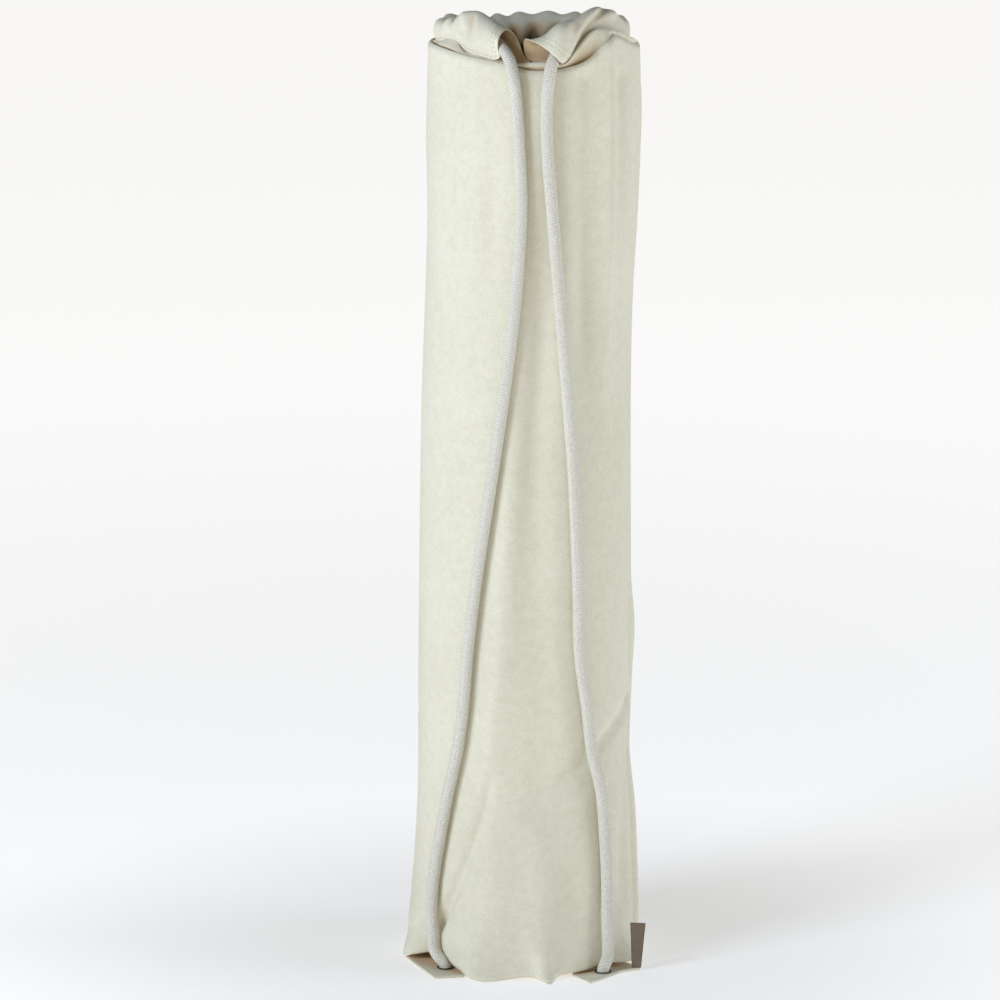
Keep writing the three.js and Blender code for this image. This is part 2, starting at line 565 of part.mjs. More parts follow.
// A smooth curve whose even steps crowd towards its two ends, where a cord bends most.
class CrowdedCurve extends THREE.CatmullRomCurve3 {
  getUtoTmapping(u, distance) {
    return super.getUtoTmapping(u - (endCrowding * Math.sin(2 * Math.PI * u)) / (2 * Math.PI), distance);
  }
}

// A round cord swept along points.
function makeCord(points, steps) {
  const sides = 8;
  const section = new THREE.Shape(
    Array.from({ length: sides }, (_, i) => {
      const turn = (2 * Math.PI * (i + 0.5)) / sides;
      return new THREE.Vector2(cordRadius * Math.cos(turn), cordRadius * Math.sin(turn));
    }),
  );
  const path = new CrowdedCurve(points, false, "centripetal");
  return new THREE.ExtrudeGeometry(section, { steps, extrudePath: path, bevelEnabled: false });
}

// A place on the floor from an angle in degrees and a share of the ears' reach.
function floorPlace({ angle, out }) {
  const turn = radians(angle);
  return new THREE.Vector2(out * earReach * Math.sin(turn), -out * earReach * Math.cos(turn));
}

// One free run of the cord, from inside the channel over the shoulder and down through its eyelet.
function cordRun(angles, route, ear) {
  const inside = angles.map(channelMiddle);
  const down = route.map(({ up, angle, off }) => cordOnCloth(angle, up * shoulderHeight, off));
  const place = floorPlace(ear.eyelet);
  const hole = new THREE.Vector3(place.x, place.y, cordRest);
  const outwards = hole.clone().setZ(0).normalize();
  const last = down[down.length - 1];
  const bends = cordBends.map(({ share, height, out }) =>
    last.clone().lerp(hole, share).addScaledVector(outwards, out).setZ(height),
  );
  return [...inside, ...down, ...bends, hole];
}

// A flat ear of cloth on the floor with a hole for its eyelet.
function makeEar({ outline, eyelet }) {
  const shape = new THREE.Shape(outline.map(floorPlace));
  const hole = floorPlace(eyelet);
  shape.holes.push(new THREE.Path().absarc(hole.x, hole.y, eyeletBore / 2, 0, 2 * Math.PI, true));
  return new THREE.ExtrudeGeometry(shape, { depth: earWall, bevelEnabled: false, curveSegments: 16 });
}

// The metal ring round an ear's hole: a low rounded rim on a flat flange.
function makeEyelet() {
  const bore = eyeletBore / 2;
  const flange = eyeletFlange / 2;
  const profile = [
    new THREE.Vector2(bore, 0),
    new THREE.Vector2(flange, 0),
    new THREE.Vector2(flange, eyeletRise * 0.4),
    new THREE.Vector2((bore + flange) / 2, eyeletRise),
    new THREE.Vector2(bore, eyeletRise * 0.6),
    new THREE.Vector2(bore, 0),
  ];
  return new THREE.LatheGeometry(profile, 24).rotateX(Math.PI / 2);
}

// The bare cloth label that is caught in the right side seam, just over the floor.
function makeLabel() {
  const seam = { angle: 53, height: 0.15 * labelHeight };
  const outwards = new THREE.Vector3(1, -0.15, 0).normalize();
  const upwards = new THREE.Vector3(0, 0, 1);
  const root = wallPoint(seam.angle, seam.height).setZ(earWall + seat).addScaledVector(outwards, 2 * seat);
  const shape = new THREE.Shape([
    new THREE.Vector2(0.2 * labelReach, 0),
    new THREE.Vector2(0.78 * labelReach, 0),
    new THREE.Vector2(1.05 * labelReach, labelHeight),
    new THREE.Vector2(0.1 * labelReach, labelHeight),
  ]);
  const plate = new THREE.ExtrudeGeometry(shape, { depth: labelWall, bevelEnabled: false });
  plate.applyMatrix4(new THREE.Matrix4().makeBasis(outwards, upwards, outwards.clone().cross(upwards)));
  return plate.translate(root.x, root.y, root.z);
}

const canvas = new THREE.MeshStandardMaterial({ color: 0xe6e3d2, roughness: 0.9, metalness: 0 });
const braid = new THREE.MeshStandardMaterial({ color: 0xe2dfd8, roughness: 0.85, metalness: 0 });
const darkMetal = new THREE.MeshStandardMaterial({ color: 0x35332f, roughness: 0.35, metalness: 1 });
const labelCloth = new THREE.MeshStandardMaterial({ color: 0x8b7b69, roughness: 0.8, metalness: 0 });

const bag = new THREE.Group();

function addPiece(name, geometry, material) {
  const mesh = new THREE.Mesh(geometry, material.clone());
  mesh.name = name;
  bag.add(mesh);
  return mesh;
}

addPiece("bag_tube", makeBag(), canvas);
addPiece("cord_channel", makeChannel(), canvas);

const innerAngles = { left: [-40, -32, -24], right: [46, 34, 18.5], apart: 2 };
const innerSteps = 18;
const innerRun = Array.from({ length: innerSteps + 1 }, (_, i) => {
  const first = innerAngles.left[0] - innerAngles.apart;
  const last = innerAngles.right[0] + innerAngles.apart - 360;
  return channelMiddle(THREE.MathUtils.lerp(first, last, i / innerSteps));
});
addPiece("cord_in_channel", makeCord(innerRun, innerSteps), braid);
addPiece("cord_left", makeCord(cordRun(innerAngles.left, leftRoute, leftEar), 50), braid);
addPiece("cord_right", makeCord(cordRun(innerAngles.right, rightRoute, rightEar), 50), braid);

for (const [side, ear] of [["left", leftEar], ["right", rightEar]]) {
  addPiece(`ear_${side}`, makeEar(ear), canvas);
  const hole = floorPlace(ear.eyelet);
  addPiece(`eyelet_${side}`, makeEyelet(), darkMetal).position.set(hole.x, hole.y, earWall + seat);
}
addPiece("side_label", makeLabel(), labelCloth);

bag.position.set(0, bagBehind, 0);

export default bag;
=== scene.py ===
"""A drawstring bag for a rolled yoga mat, in cream cotton canvas with two braided cords.

The cloth's shape comes from the same named sizes and tables as the frame's solids, drawn more
finely: sizes are in millimetres and angles in degrees, round the bag from the front, positive
towards +X. make_mesh turns millimetres into metres.
"""

import math

import bpy
import numpy as np
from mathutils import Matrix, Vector


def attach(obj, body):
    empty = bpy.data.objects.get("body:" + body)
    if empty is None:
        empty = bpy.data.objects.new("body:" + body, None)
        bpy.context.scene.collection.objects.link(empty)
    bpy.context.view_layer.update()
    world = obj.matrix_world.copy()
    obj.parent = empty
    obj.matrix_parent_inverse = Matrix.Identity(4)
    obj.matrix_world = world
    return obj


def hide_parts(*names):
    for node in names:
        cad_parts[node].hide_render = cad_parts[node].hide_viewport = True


# Driving sizes, in millimetres.
ROLL_RADIUS = 78.0  # the filled bag at its waist
SHOULDER_HEIGHT = 676.0  # floor to the fold over the end of the roll
CLOTH_WALL = 1.5  # cotton canvas
CHANNEL_HEIGHT = 30.0  # the hem that holds the drawstring
CHANNEL_LIFT = -1.0  # from the neck's stitched edge to the underside of that hem
CHANNEL_HALF_DEPTH = 7.8  # half the thickness of that hem
PUFF_DEPTH = 3.2  # how much further each gather stands out
GATHER_COUNT = 21  # gathers round a whole ring
CORD_DIAMETER = 8.8
CORD_REST = 0.6  # from the cord to the cloth it lies on
EAR_WALL = 2.0
EAR_SPREAD = 22.0  # how far an ear reaches past the roll
EYELET_BORE = 10.0
EYELET_FLANGE = 12.8
EYELET_RISE = 0.8
BRAID_ROWS = 12  # rows of strands round the cord
BRAID_PITCH = 2.0  # from one strand to the next along the cord
LABEL_HEIGHT = 34.0
LABEL_REACH = 12.0
LABEL_WALL = 1.0
BAG_BEHIND = 8.8  # the middle of the roll lies this far behind the origin
CORD_RADIUS = CORD_DIAMETER / 2
EAR_REACH = ROLL_RADIUS + EAR_SPREAD
SEAT = 0.3  # between pieces that touch

# Studio light: the lamps in watts, and the room's and the stage's own light.
KEY_POWER = 46.5
FILL_POWER = 31.0
ROOM_LIGHT = 0.08
STAGE_GLOW = 0.47
STAGE_RADIUS = 6500.0  # out to the rim
STAGE_RIM = 1500.0  # the rim's height

# How finely the cloth is drawn.
WALL_COLUMNS = 300
FRONT_SHARE = 20.0  # degrees by which the columns crowd towards the front
FLOOR_SHARES = (0.02, 0.2, 0.4, 0.55, 0.66, 0.74, 0.82, 0.9, 0.96, 0.99)
WALL_SPANS = (((0, 0.06), 16), ((0.06, 0.34), 66), ((0.34, 0.85), 64), ((0.85, 1), 34))
NECK_ROWS = 34
INSIDE_STEPS = (2, 6, 3, 1)  # rows outside to one inside: low down, on the wall, up the neck, last
CHANNEL_COLUMNS = 420
CHANNEL_SIDES = 56
EAR_COLUMNS = 240
STITCH_LENGTH = 2.4
STITCH_WIDTH = 0.7
STITCH_PITCH = 3.3

# Outline of the filled bag. up is a share of the shoulder height, and the rest are shares of the
# roll's radius: the sway of the middle to the right, the half width, and the depth in front of
# the middle and behind it.
SECTIONS = {
    "up": [0.0, 0.02, 0.06, 0.11, 0.17, 0.225, 0.28, 0.4, 0.62, 0.73, 0.84, 0.95, 1.0],
    "sway": [-0.01, -0.01, -0.005, 0.005, 0.01, 0.0, 0.005, 0.01, 0.02, 0.045, 0.085, 0.11, 0.115],
    "side": [1.07, 1.08, 1.075, 1.05, 1.025, 1.005, 1.01, 1.005, 0.985, 0.975, 0.985, 0.99, 0.98],
    "front": [1.13, 1.1, 1.055, 1.02, 0.99, 0.98, 0.985, 0.985, 0.98, 0.98, 0.985, 0.985, 0.98],
    "back": [0.98, 1.0, 1.01, 1.0, 1.0, 0.99, 0.99, 0.99, 0.99, 0.985, 0.985, 0.985, 0.98],
}

# Folds and dents in the wall: from (angle, up) to (angle, up), bow, width, then how far the fold
# stands out at its start, middle and end. All but the angles are shares.
FOLDS = [
    # the shoulders
    ((-85, 1.04), (-88, 0.8), 0, 0.45, 0.035, 0.03, 0),
    ((92, 1.02), (92, 0.93), 0, 0.3, -0.02, -0.015, 0),
    # between the two cords
    ((0, 0.97), (-19, 0.22), -0.06, 0.12, 0.02, 0.055, 0.04),
    ((5, 0.97), (9, 0.2), 0.04, 0.2, -0.015, -0.06, -0.045),
    # under the right shoulder
    ((26, 0.98), (34, 0.6), 0, 0.12, -0.06, -0.055, -0.01),
    ((41, 1.02), (49, 0.6), 0, 0.085, 0.055, 0.055, 0.01),
    ((52, 0.98), (56, 0.8), 0, 0.09, -0.035, -0.02, 0),
    # left of the left cord
    ((-54, 0.97), (-50, 0.74), 0, 0.07, -0.01, -0.025, 0),
    ((-24, 0.96), (-22, 0.72), 0, 0.09, 0, -0.02, 0),
    # the buckle across the lower third
    ((82, 0.292), (40, 0.245), 0.02, 0.075, -0.045, -0.05, -0.03),
    ((38, 0.24), (11, 0.2), 0, 0.09, -0.03, -0.04, 0),
    ((60, 0.235), (22, 0.17), 0, 0.09, 0, 0.025, 0),
    ((-92, 0.275), (-60, 0.252), 0, 0.045, -0.02, -0.015, 0),
    # the lower left, down to the cord's eyelet
    ((-17, 0.225), (-48, 0.05), -0.05, 0.06, -0.02, -0.045, -0.07),
    ((-53, 0.07), (-55, 0.0), 0, 0.12, 0, -0.08, -0.16),
    ((-10, 0.17), (-19, 0.0), 0, 0.22, 0, 0.045, 0.05),
    ((-25, 0.035), (-22, 0.0), 0, 0.17, 0.02, 0.05, 0.09),
    # the ridge that ends in a point on the floor
    ((6, 0.2), (9, 0.03), 0, 0.13, 0, 0.04, 0.06),
    ((9, 0.05), (12, -0.01), 0, 0.075, 0, 0.05, 0.21),
    ((26, 0.14), (27, 0.03), 0, 0.14, 0, -0.05, -0.02),
    ((20, 0.035), (34, -0.01), 0, 0.16, 0, 0.03, 0.06),
    # beside the right seam
    ((66, 0.22), (60, 0.03), 0, 0.075, 0, -0.045, -0.02),
    ((82, 0.46), (79, 0.01), 0, 0.035, -0.03, -0.055, -0.055),
    ((90, 0.43), (90, 0.3), 0, 0.12, 0, 0.035, 0.01),
    ((90, 0.25), (84, 0.02), 0, 0.12, 0, 0.03, 0.03),
    # the corners that spread on the floor
    ((-76, 0.08), (-67, 0.0), 0, 0.2, 0, 0.05, 0.155),
    ((61, 0.09), (55, 0.0), 0, 0.165, 0, 0.06, 0.19),
    # the plain back
    ((-150, 0.97), (-156, 0.4), 0.04, 0.12, 0.02, 0.03, 0),
    ((166, 0.93), (160, 0.12), -0.05, 0.14, -0.02, -0.035, 0),
    ((128, 0.7), (134, 0.05), 0, 0.13, 0, 0.03, 0.02),
    ((-118, 0.5), (-112, 0.03), 0, 0.12, 0, -0.035, -0.03),
    ((-172, 0.24), (-150, 0.19), 0, 0.07, 0, -0.03, 0),
    ((178, 0.16), (176, 0.0), 0, 0.15, 0, 0.03, 0.05),
]

# Height of the wall's foot over the floor, by angle, as a share of the roll's radius.
FOOT_ROWS = [
    (-180, 0), (-125, 0), (-100, 0.02), (-86, 0.04), (-72, 0.05), (-58, 0.12),
    (-51, 0.18), (-46, 0.17), (-42, 0.14), (-38, 0.085), (-31, 0.045), (-25, 0.015),
    (-14, 0), (1, 0.03), (7, 0.02), (12, 0), (20, 0.035), (32, 0.055),
    (46, 0.082), (62, 0.072), (78, 0.045), (100, 0.01), (125, 0),
]
FOOT = dict(zip(("angle", "lift"), zip(*FOOT_ROWS)))

# The gathered end above the wall, by angle. wall_top, ridge_up, stitch_up and top_up are heights
# over the shoulder as shares of the channel's height. tuck, ridge, stitch and top are
# shares of the roll's radius; the first is how far the neck tucks in under the fold, and it also
# sets how much painted shade that crease gets. gather fades the gathers out.
RIM_COLUMNS = "angle wall_top tuck ridge ridge_up stitch stitch_up top top_up gather".split()
RIM_ROWS = [
    (-180, 0.13, 0.06, 0.9, 0.12, 0.79, 0.14, 0.67, 0.55, 1),
    (-150, 0.13, 0.06, 0.9, 0.12, 0.79, 0.14, 0.67, 0.5, 1),
    (-120, 0.16, 0.06, 0.92, 0.18, 0.84, 0.2, 0.7, 0.58, 1),
    (-95, 0.17, 0.05, 0.955, 0.24, 0.91, 0.28, 0.735, 0.71, 1),
    (-75, 0.18, 0.05, 0.96, 0.28, 0.91, 0.36, 0.74, 0.8, 0.6),
    (-62, 0.16, 0.06, 0.955, 0.28, 0.89, 0.46, 0.73, 0.93, 0.2),
    (-54, 0.13, 0.06, 0.95, 0.23, 0.89, 0.38, 0.72, 1.04, 0.1),
    (-47, 0.1, 0.06, 0.94, 0.15, 0.9, 0.22, 0.72, 1.12, 0.05),
    (-36, 0.05, 0.05, 0.935, 0.09, 0.92, 0.15, 0.74, 1.03, 0),
    (-24, -0.01, 0.05, 0.945, 0.02, 0.935, 0.07, 0.79, 0.88, 0),
    (-13, -0.1, 0.05, 0.945, -0.02, 0.94, 0.03, 0.83, 0.72, 0),
    (-4, -0.19, 0.05, 0.94, -0.02, 0.925, 0.06, 0.845, 0.58, 0),
    (4, -0.2, 0.05, 0.94, -0.02, 0.93, 0.06, 0.84, 0.68, 0),
    (10, -0.18, 0.05, 0.945, -0.05, 0.945, 0.01, 0.8, 0.84, 0),
    (16, -0.14, 0.045, 0.95, 0.0, 0.93, 0.08, 0.77, 0.93, 0),
    (24, -0.07, 0.05, 0.95, 0.38, 0.885, 0.38, 0.745, 1.0, 0),
    (32, 0.1, 0.035, 0.94, 0.7, 0.84, 0.62, 0.72, 1.07, 0),
    (40, 0.42, 0.01, 0.92, 0.8, 0.81, 0.66, 0.7, 1.16, 0.1),
    (48, 0.55, 0.0, 0.93, 0.74, 0.81, 0.6, 0.69, 1.2, 0.15),
    (58, 0.4, 0.0, 0.95, 0.58, 0.82, 0.46, 0.69, 1.12, 0.2),
    (70, 0.22, 0.0, 0.965, 0.4, 0.83, 0.38, 0.7, 0.86, 0.4),
    (82, 0.16, 0.015, 0.94, 0.26, 0.85, 0.28, 0.7, 0.66, 0.8),
    (97, 0.13, 0.05, 0.92, 0.2, 0.85, 0.22, 0.69, 0.64, 1),
    (112, 0.13, 0.06, 0.91, 0.18, 0.84, 0.2, 0.68, 0.62, 1),
    (135, 0.13, 0.06, 0.9, 0.16, 0.8, 0.18, 0.68, 0.58, 1),
    (158, 0.13, 0.06, 0.9, 0.12, 0.79, 0.14, 0.67, 0.56, 1),
]
RIM = dict(zip(RIM_COLUMNS, zip(*RIM_ROWS)))

# Single pleats in the channel: the angle at the stitching, at the top fold, the width in degrees
# and how far the outer layer stands out, as a share of the channel's height.
PLEATS = [
    (-50, -61, 4, -0.12),
    (-44, -53, 5, 0.1),
    (-18, -22, 8, 0.2),
    (14, 13, 7, 0.4),
    (14, 44, 6, 0.12),
    (20, 57, 2.6, -0.2),
    (32, 67, 6, 0.1),
]

# Pulls on the channel's cloth, each a soft patch: its angle and its place round the section, as
# below, its half width in degrees and its half height round the section, how far the cloth moves
# there, in degrees, then outwards and upwards as shares of the channel's height, and how much
# painted shade the cloth's colour gets there, from 0 to 1.
PULLS = [
    # the lobe at the far left, and the notch between it and the left wing
    (-84, 0.3, 14, 0.25, 0, 0.12, -0.1, 0),
    (-64, 0.4, 3.5, 0.12, 0, -0.1, -0.12, 0.2),
    (-57, 0.3, 4, 0.2, -1.5, 0.06, 0.03, 0),
    # the left wing's hollow and its end over the cord
    (-46, 0.28, 4.5, 0.12, 0, -0.12, 0, 0.12),
    (-21, 0.35, 11, 0.1, 0, 0.0, -0.13, 0),
    # the right wing's free edge and its point
    (8, 0.17, 10, 0.1, -1, 0.2, -0.28, 0),
    (3, 0.3, 9, 0.1, 0, 0.1, -0.08, 0),
    # the inside of the gathers behind
    (180, 0.76, 70, 0.11, 0, -0.03, -0.24, 0.1),
]

# Where each end of the channel is cut, going round its section from the stitching (0) over the
# outer layer (0.25), the top fold (0.5) and the inner layer (0.75) back to the stitching (1).
CHANNEL_ENDS = {
    "round": [0.0, 0.1, 0.2, 0.3, 0.4, 0.5, 0.6, 0.7, 0.8, 0.9, 0.95, 1.0],
    "left": [-33, -21.6, -21.6, -21.0, -20, -18, -14, -11, -8, -4, -11, -33],
    "right": [28, 16, 11, 4, -2, -7, -9, -9, -7, -2, 8, 28],
}

# Routes of the two free runs of the cord: up, the angle it lies at there, and how far it stands
# off the cloth more than where it lies, in millimetres.
LEFT_ROUTE = [
    (1.007, -15.0, 1.2), (0.985, -11.6, 1.6), (0.962, -10.2, 0.4), (0.91, -8.2, 0),
    (0.85, -6.4, 0), (0.78, -6.8, 0), (0.71, -8.6, 0), (0.64, -12.0, 0),
    (0.57, -16.5, 0), (0.5, -21.5, 0), (0.43, -26.5, 0), (0.36, -30.5, 0),
    (0.3, -33.0, 0), (0.25, -36.5, 0), (0.2, -42.5, 0.4), (0.15, -47.5, 0.4),
    (0.1, -50.5, 0.6), (0.065, -50.5, 0.8), (0.035, -50.0, 0.8),
]
RIGHT_ROUTE = [
    (1.004, 8.0, 1.2), (0.985, 5.8, 1.6), (0.962, 4.8, 0.4), (0.91, 5.8, 0),
    (0.85, 9.0, 0), (0.78, 13.3, 0), (0.71, 17.6, 0), (0.64, 21.4, 0),
    (0.57, 24.6, 0), (0.5, 26.5, 0), (0.43, 28.0, 0), (0.36, 29.0, 0),
    (0.3, 33.0, 0.8), (0.25, 37.0, 1.0), (0.2, 41.5, 0.6), (0.15, 43.8, 0.6),
    (0.1, 44.6, 0.6), (0.06, 43.2, 1.8),
]
LEFT_INSIDE = (-40, -32, -24)
RIGHT_INSIDE = (46, 34, 18.5)

# The flat corners of the bag that lie on the floor, as angles and shares of the ears' reach.
LEFT_EAR = [(-79, 0.71), (-72, 0.93), (-37, 1.09), (-28.5, 0.93), (-34, 0.7), (-58, 0.69)]
RIGHT_EAR = [
    (24, 0.87), (26, 1.1), (33.5, 1.05), (46.5, 1.0), (54.3, 1.06),
    (60, 0.86), (56, 0.7), (38, 0.7), (28, 0.78),
]
LEFT_EYELET = (-43, 0.85)
RIGHT_EYELET = (38.5, 0.935)

# The stitching beside the channel's open ends, as shares of its length in from each end.
END_STITCHES = (0.008, 0.014)

# The label: where its seam is, as an angle and a height, and the places of its two sides at its
# bottom and its top, as shares of its reach.
LABEL_SEAM = (53, 0.15 * LABEL_HEIGHT)
LABEL_SIDES = ((0.2, 0.1), (0.78, 1.05))

# How each run bends over its eyelet: shares of the way there from its last place, heights, and how
# far it swings out from the bag, in millimetres.
CORD_BENDS = [(0.16, 16.8, 1.8), (0.52, 11.4, 2.4), (0.88, 7.4, 1.4), (1.0, 4.0, 0.2)]


def lookup(table, key, column, place, turn=0):
    """The value of one column of a table at each place, along a smooth curve through its rows.

    Between two rows it is a cubic whose slope at each row is that of the line through the row
    before and the row after. turn is the length of a table that goes round.
    """
    x = np.asarray(table[key], float)
    y = np.asarray(table[column], float)
    place = np.asarray(place, float)
    if turn:
        x = np.concatenate([x[-2:] - turn, x, x[:3] + turn])
        y = np.concatenate([y[-2:], y, y[:3]])
        place = (place - x[2]) % turn + x[2]
    else:
        x = np.concatenate([x[:1], x, x[-1:]])
        y = np.concatenate([y[:1], y, y[-1:]])
        place = np.clip(place, x[0], x[-1])
    i = np.clip(np.searchsorted(x[1:-1], place, side="right"), 1, len(x) - 3)
    span = x[i + 1] - x[i]
    slope1 = (y[i + 1] - y[i - 1]) / (x[i + 1] - x[i - 1]) * span
    slope2 = (y[i + 2] - y[i]) / (x[i + 2] - x[i]) * span
    return hermite(y[i], slope1, y[i + 1], slope2, (place - x[i]) / span)


def hermite(start, slope1, end, slope2, t):
    """The cubic from start to end over t from 0 to 1 with the given slopes at its ends."""
    t2 = t * t
    t3 = t2 * t
    return (
        start * (2 * t3 - 3 * t2 + 1)
        + slope1 * (t3 - 2 * t2 + t)
        + end * (3 * t2 - 2 * t3)
        + slope2 * (t3 - t2)
    )


def smooth(t, low=0.0, high=1.0):
    """An even step from 0 at low to 1 at high, with level ends."""
    s = np.clip((np.asarray(t, float) - low) / (high - low), 0, 1)
    return s * s * (3 - 2 * s)


def mix(a, b, t):
    """a where t is 0 and b where t is 1."""
    return a + (b - a) * t


def turned(angle, middle):
    """The angle in degrees moved by whole turns to within half a turn of middle."""
    return (angle - middle + 180) % 360 - 180 + middle


def fold_height(angle, height):
    """How far all the folds together push the wall out.

    Each is a bell across its line, exp(-(distance / width)^2), and its height eases from the
    middle value to the start and end values along the line.
    """
    total = np.zeros(np.broadcast(angle, height).shape)
    for (angle0, up0), (angle1, up1), bow, width, start, middle, end in FOLDS:
        here = np.radians(turned(angle, (angle0 + angle1) / 2) - angle0) * ROLL_RADIUS
        rise = height - up0 * SHOULDER_HEIGHT
        turn = math.radians(angle1 - angle0) * ROLL_RADIUS
        line = np.array([turn, (up1 - up0) * SHOULDER_HEIGHT])
        length = np.hypot(*line)
        along = (here * line[0] + rise * line[1]) / length
        share = np.clip(along / length, 0, 1)
        beyond = along - share * length
        across = (here * line[1] - rise * line[0]) / length
        across = across - bow * ROLL_RADIUS * 4 * share * (1 - share)
        out = mix(middle, np.where(share < 0.5, start, end), smooth(2 * np.abs(share - 0.5)))
        near = np.exp(-(across**2 + beyond**2) / (width * ROLL_RADIUS) ** 2)
        total = total + out * ROLL_RADIUS * near
    return total


def wall_point(angle, height):
    """A point of the wall's outside: an oval section, swayed to the side, with the folds added."""
    up = height / SHOULDER_HEIGHT
    names = ("sway", "side", "front", "back")
    sway, side, front, back = (lookup(SECTIONS, "up", c, up) * ROLL_RADIUS for c in names)
    turn = np.radians(angle)
    out = fold_height(angle, height)
    depth = np.where(np.cos(turn) > 0, front, back)
    x = sway + (side + out) * np.sin(turn)
    y = -(depth + out) * np.cos(turn)
    return np.stack(np.broadcast_arrays(x, y, height), -1)


def rim_at(angle, column):
    """A column of the rim's table at an angle."""
    return lookup(RIM, "angle", column, angle, 360)


def rim_height(angle, column):
    """A height from the rim's table, over the floor."""
    return SHOULDER_HEIGHT + rim_at(angle, column) * CHANNEL_HEIGHT


def foot_height(angle):
    """Height of the wall's foot over the floor."""
    return np.maximum(0, lookup(FOOT, "angle", "lift", angle, 360) * ROLL_RADIUS)


MOUTH_X = float(lookup(SECTIONS, "up", "sway", 1.0)) * ROLL_RADIUS


def round_mouth(angle, radius, height):
    """A point round the mouth's middle, from an angle, a radius and a height."""
    turn = np.radians(angle)
    x = MOUTH_X + radius * np.sin(turn)
    y = -radius * np.cos(turn)
    return np.stack(np.broadcast_arrays(x, y, height), -1)


def gather_wave(angle):
    """The gathers' wave, 1 on top of one and -1 between two, with an uneven beat."""
    turn = np.radians(angle)
    return np.cos(GATHER_COUNT * turn + 0.9 * np.sin(3 * turn + 1) + 0.6 * np.sin(5 * turn))


def spline(values, share):
    """A smooth curve through evenly spaced values, each an array, at shares from 0 to 1."""
    values = np.stack(np.broadcast_arrays(*values, share)[:-1])
    last = len(values) - 1
    place = np.clip(share, 0, 1) * last
    i = np.minimum(np.floor(place), last - 1).astype(int)
    at = lambda k: np.take_along_axis(values, np.clip(i + k, 0, last)[None], 0)[0]
    before, start, end, after = at(-1), at(0), at(1), at(2)
    return hermite(start, (end - before) / 2, end, (after - start) / 2, place - i)


def neck_point(angle, share):
    """A point of the neck: it folds over the wall's top, tucks in under the fold, rises to a ridge
    and runs in to the channel's stitching."""
    top = rim_height(angle, "wall_top")
    edge = wall_point(angle, top)
    outer = np.hypot(edge[..., 0] - MOUTH_X, edge[..., 1])
    tuck = rim_at(angle, "tuck") * ROLL_RADIUS
    fold = 2 * CLOTH_WALL
    radii = [
        outer,
        outer - fold * 0.6,
        outer - fold - tuck * 0.6,
        rim_at(angle, "ridge") * ROLL_RADIUS,
        rim_at(angle, "stitch") * ROLL_RADIUS,
    ]
    heights = [
        top,
        top + fold * 0.7,
        top + fold * 0.7 - tuck * 0.35,
        rim_height(angle, "ridge_up"),
        rim_height(angle, "stitch_up"),
    ]
    share = np.broadcast_to(share, np.shape(top)).astype(float)
    wave = gather_wave(angle) * rim_at(angle, "gather") * smooth(share, 0.3, 1) * 0.55 * PUFF_DEPTH
    return round_mouth(angle, spline(radii, share) + wave, spline(heights, share))


def channel_line(angle):
    """The section's lowest point and its top, each as radius and height."""
    low = rim_at(angle, "stitch") * ROLL_RADIUS, rim_height(angle, "stitch_up") + CHANNEL_LIFT
    top = rim_at(angle, "top") * ROLL_RADIUS, rim_height(angle, "top_up")
    return low, top


def channel_point(angle, around):
    """A point of the channel's outside: a drop-shaped section between the stitching and the top
    fold, thicker on the gathers and where a pleat stands out, then pulled about."""
    (low_r, low_z), (top_r, top_z) = channel_line(angle)
    up_r, up_z = (top_r - low_r) / 2, (top_z - low_z) / 2
    half = np.hypot(up_r, up_z)
    turn = 2 * np.pi * around
    gather = rim_at(angle, "gather")
    puff = (0.5 + 0.5 * gather_wave(angle)) * gather * PUFF_DEPTH
    depth = (CHANNEL_HALF_DEPTH + puff) * (1 - 0.12 * np.cos(turn))
    level = 0.5 - 0.5 * np.cos(turn)
    pleated = depth
    for low, high, width, push in PLEATS:
        middle = mix(low, high, level)
        near = np.exp(-(((turned(angle, middle) - middle) / width) ** 2))
        pleated = pleated + push * CHANNEL_HEIGHT * near * (0.4 + 0.6 * level)
    pleated = np.maximum(pleated, CHANNEL_HALF_DEPTH - PUFF_DEPTH * 0.2)
    depth = np.where(np.sin(turn) > 1e-9, pleated, depth)
    depth = depth * np.sin(turn) * (0.15 + 1.1 * np.abs(np.sin(turn / 2)))
    reach = np.where(np.cos(turn) < 0, 1 + 0.12 * puff / PUFF_DEPTH, 1)
    radius = (low_r + top_r) / 2 - up_r * np.cos(turn) * reach + up_z / half * depth
    height = (low_z + top_z) / 2 - up_z * np.cos(turn) * reach - up_r / half * depth
    twist, out, up, _ = pulled(angle, around)
    return round_mouth(angle + twist, radius + out * CHANNEL_HEIGHT, height + up * CHANNEL_HEIGHT)


def pulled(angle, around):
    """All the pulls together at a place of the channel: each is its values times
    exp(-(degrees away / width)^2 - (way round the section / height)^2)."""
    total = np.zeros((4, *np.broadcast(angle, around).shape))
    for middle, place, wide, tall, *values in PULLS:
        away = turned(angle, middle) - middle
        along = (around - place + 0.5) % 1 - 0.5
        near = np.exp(-((away / wide) ** 2) - (along / tall) ** 2)
        total = total + near * np.reshape(values, (4,) + (1,) * np.ndim(near))
    return total


def channel_middle(angle):
    """The line down the middle of the channel, where the cord lies in it: the mean of eight points
    of its section."""
    return sum(channel_point(np.asarray(angle, float), k / 8) for k in range(8)) / 8


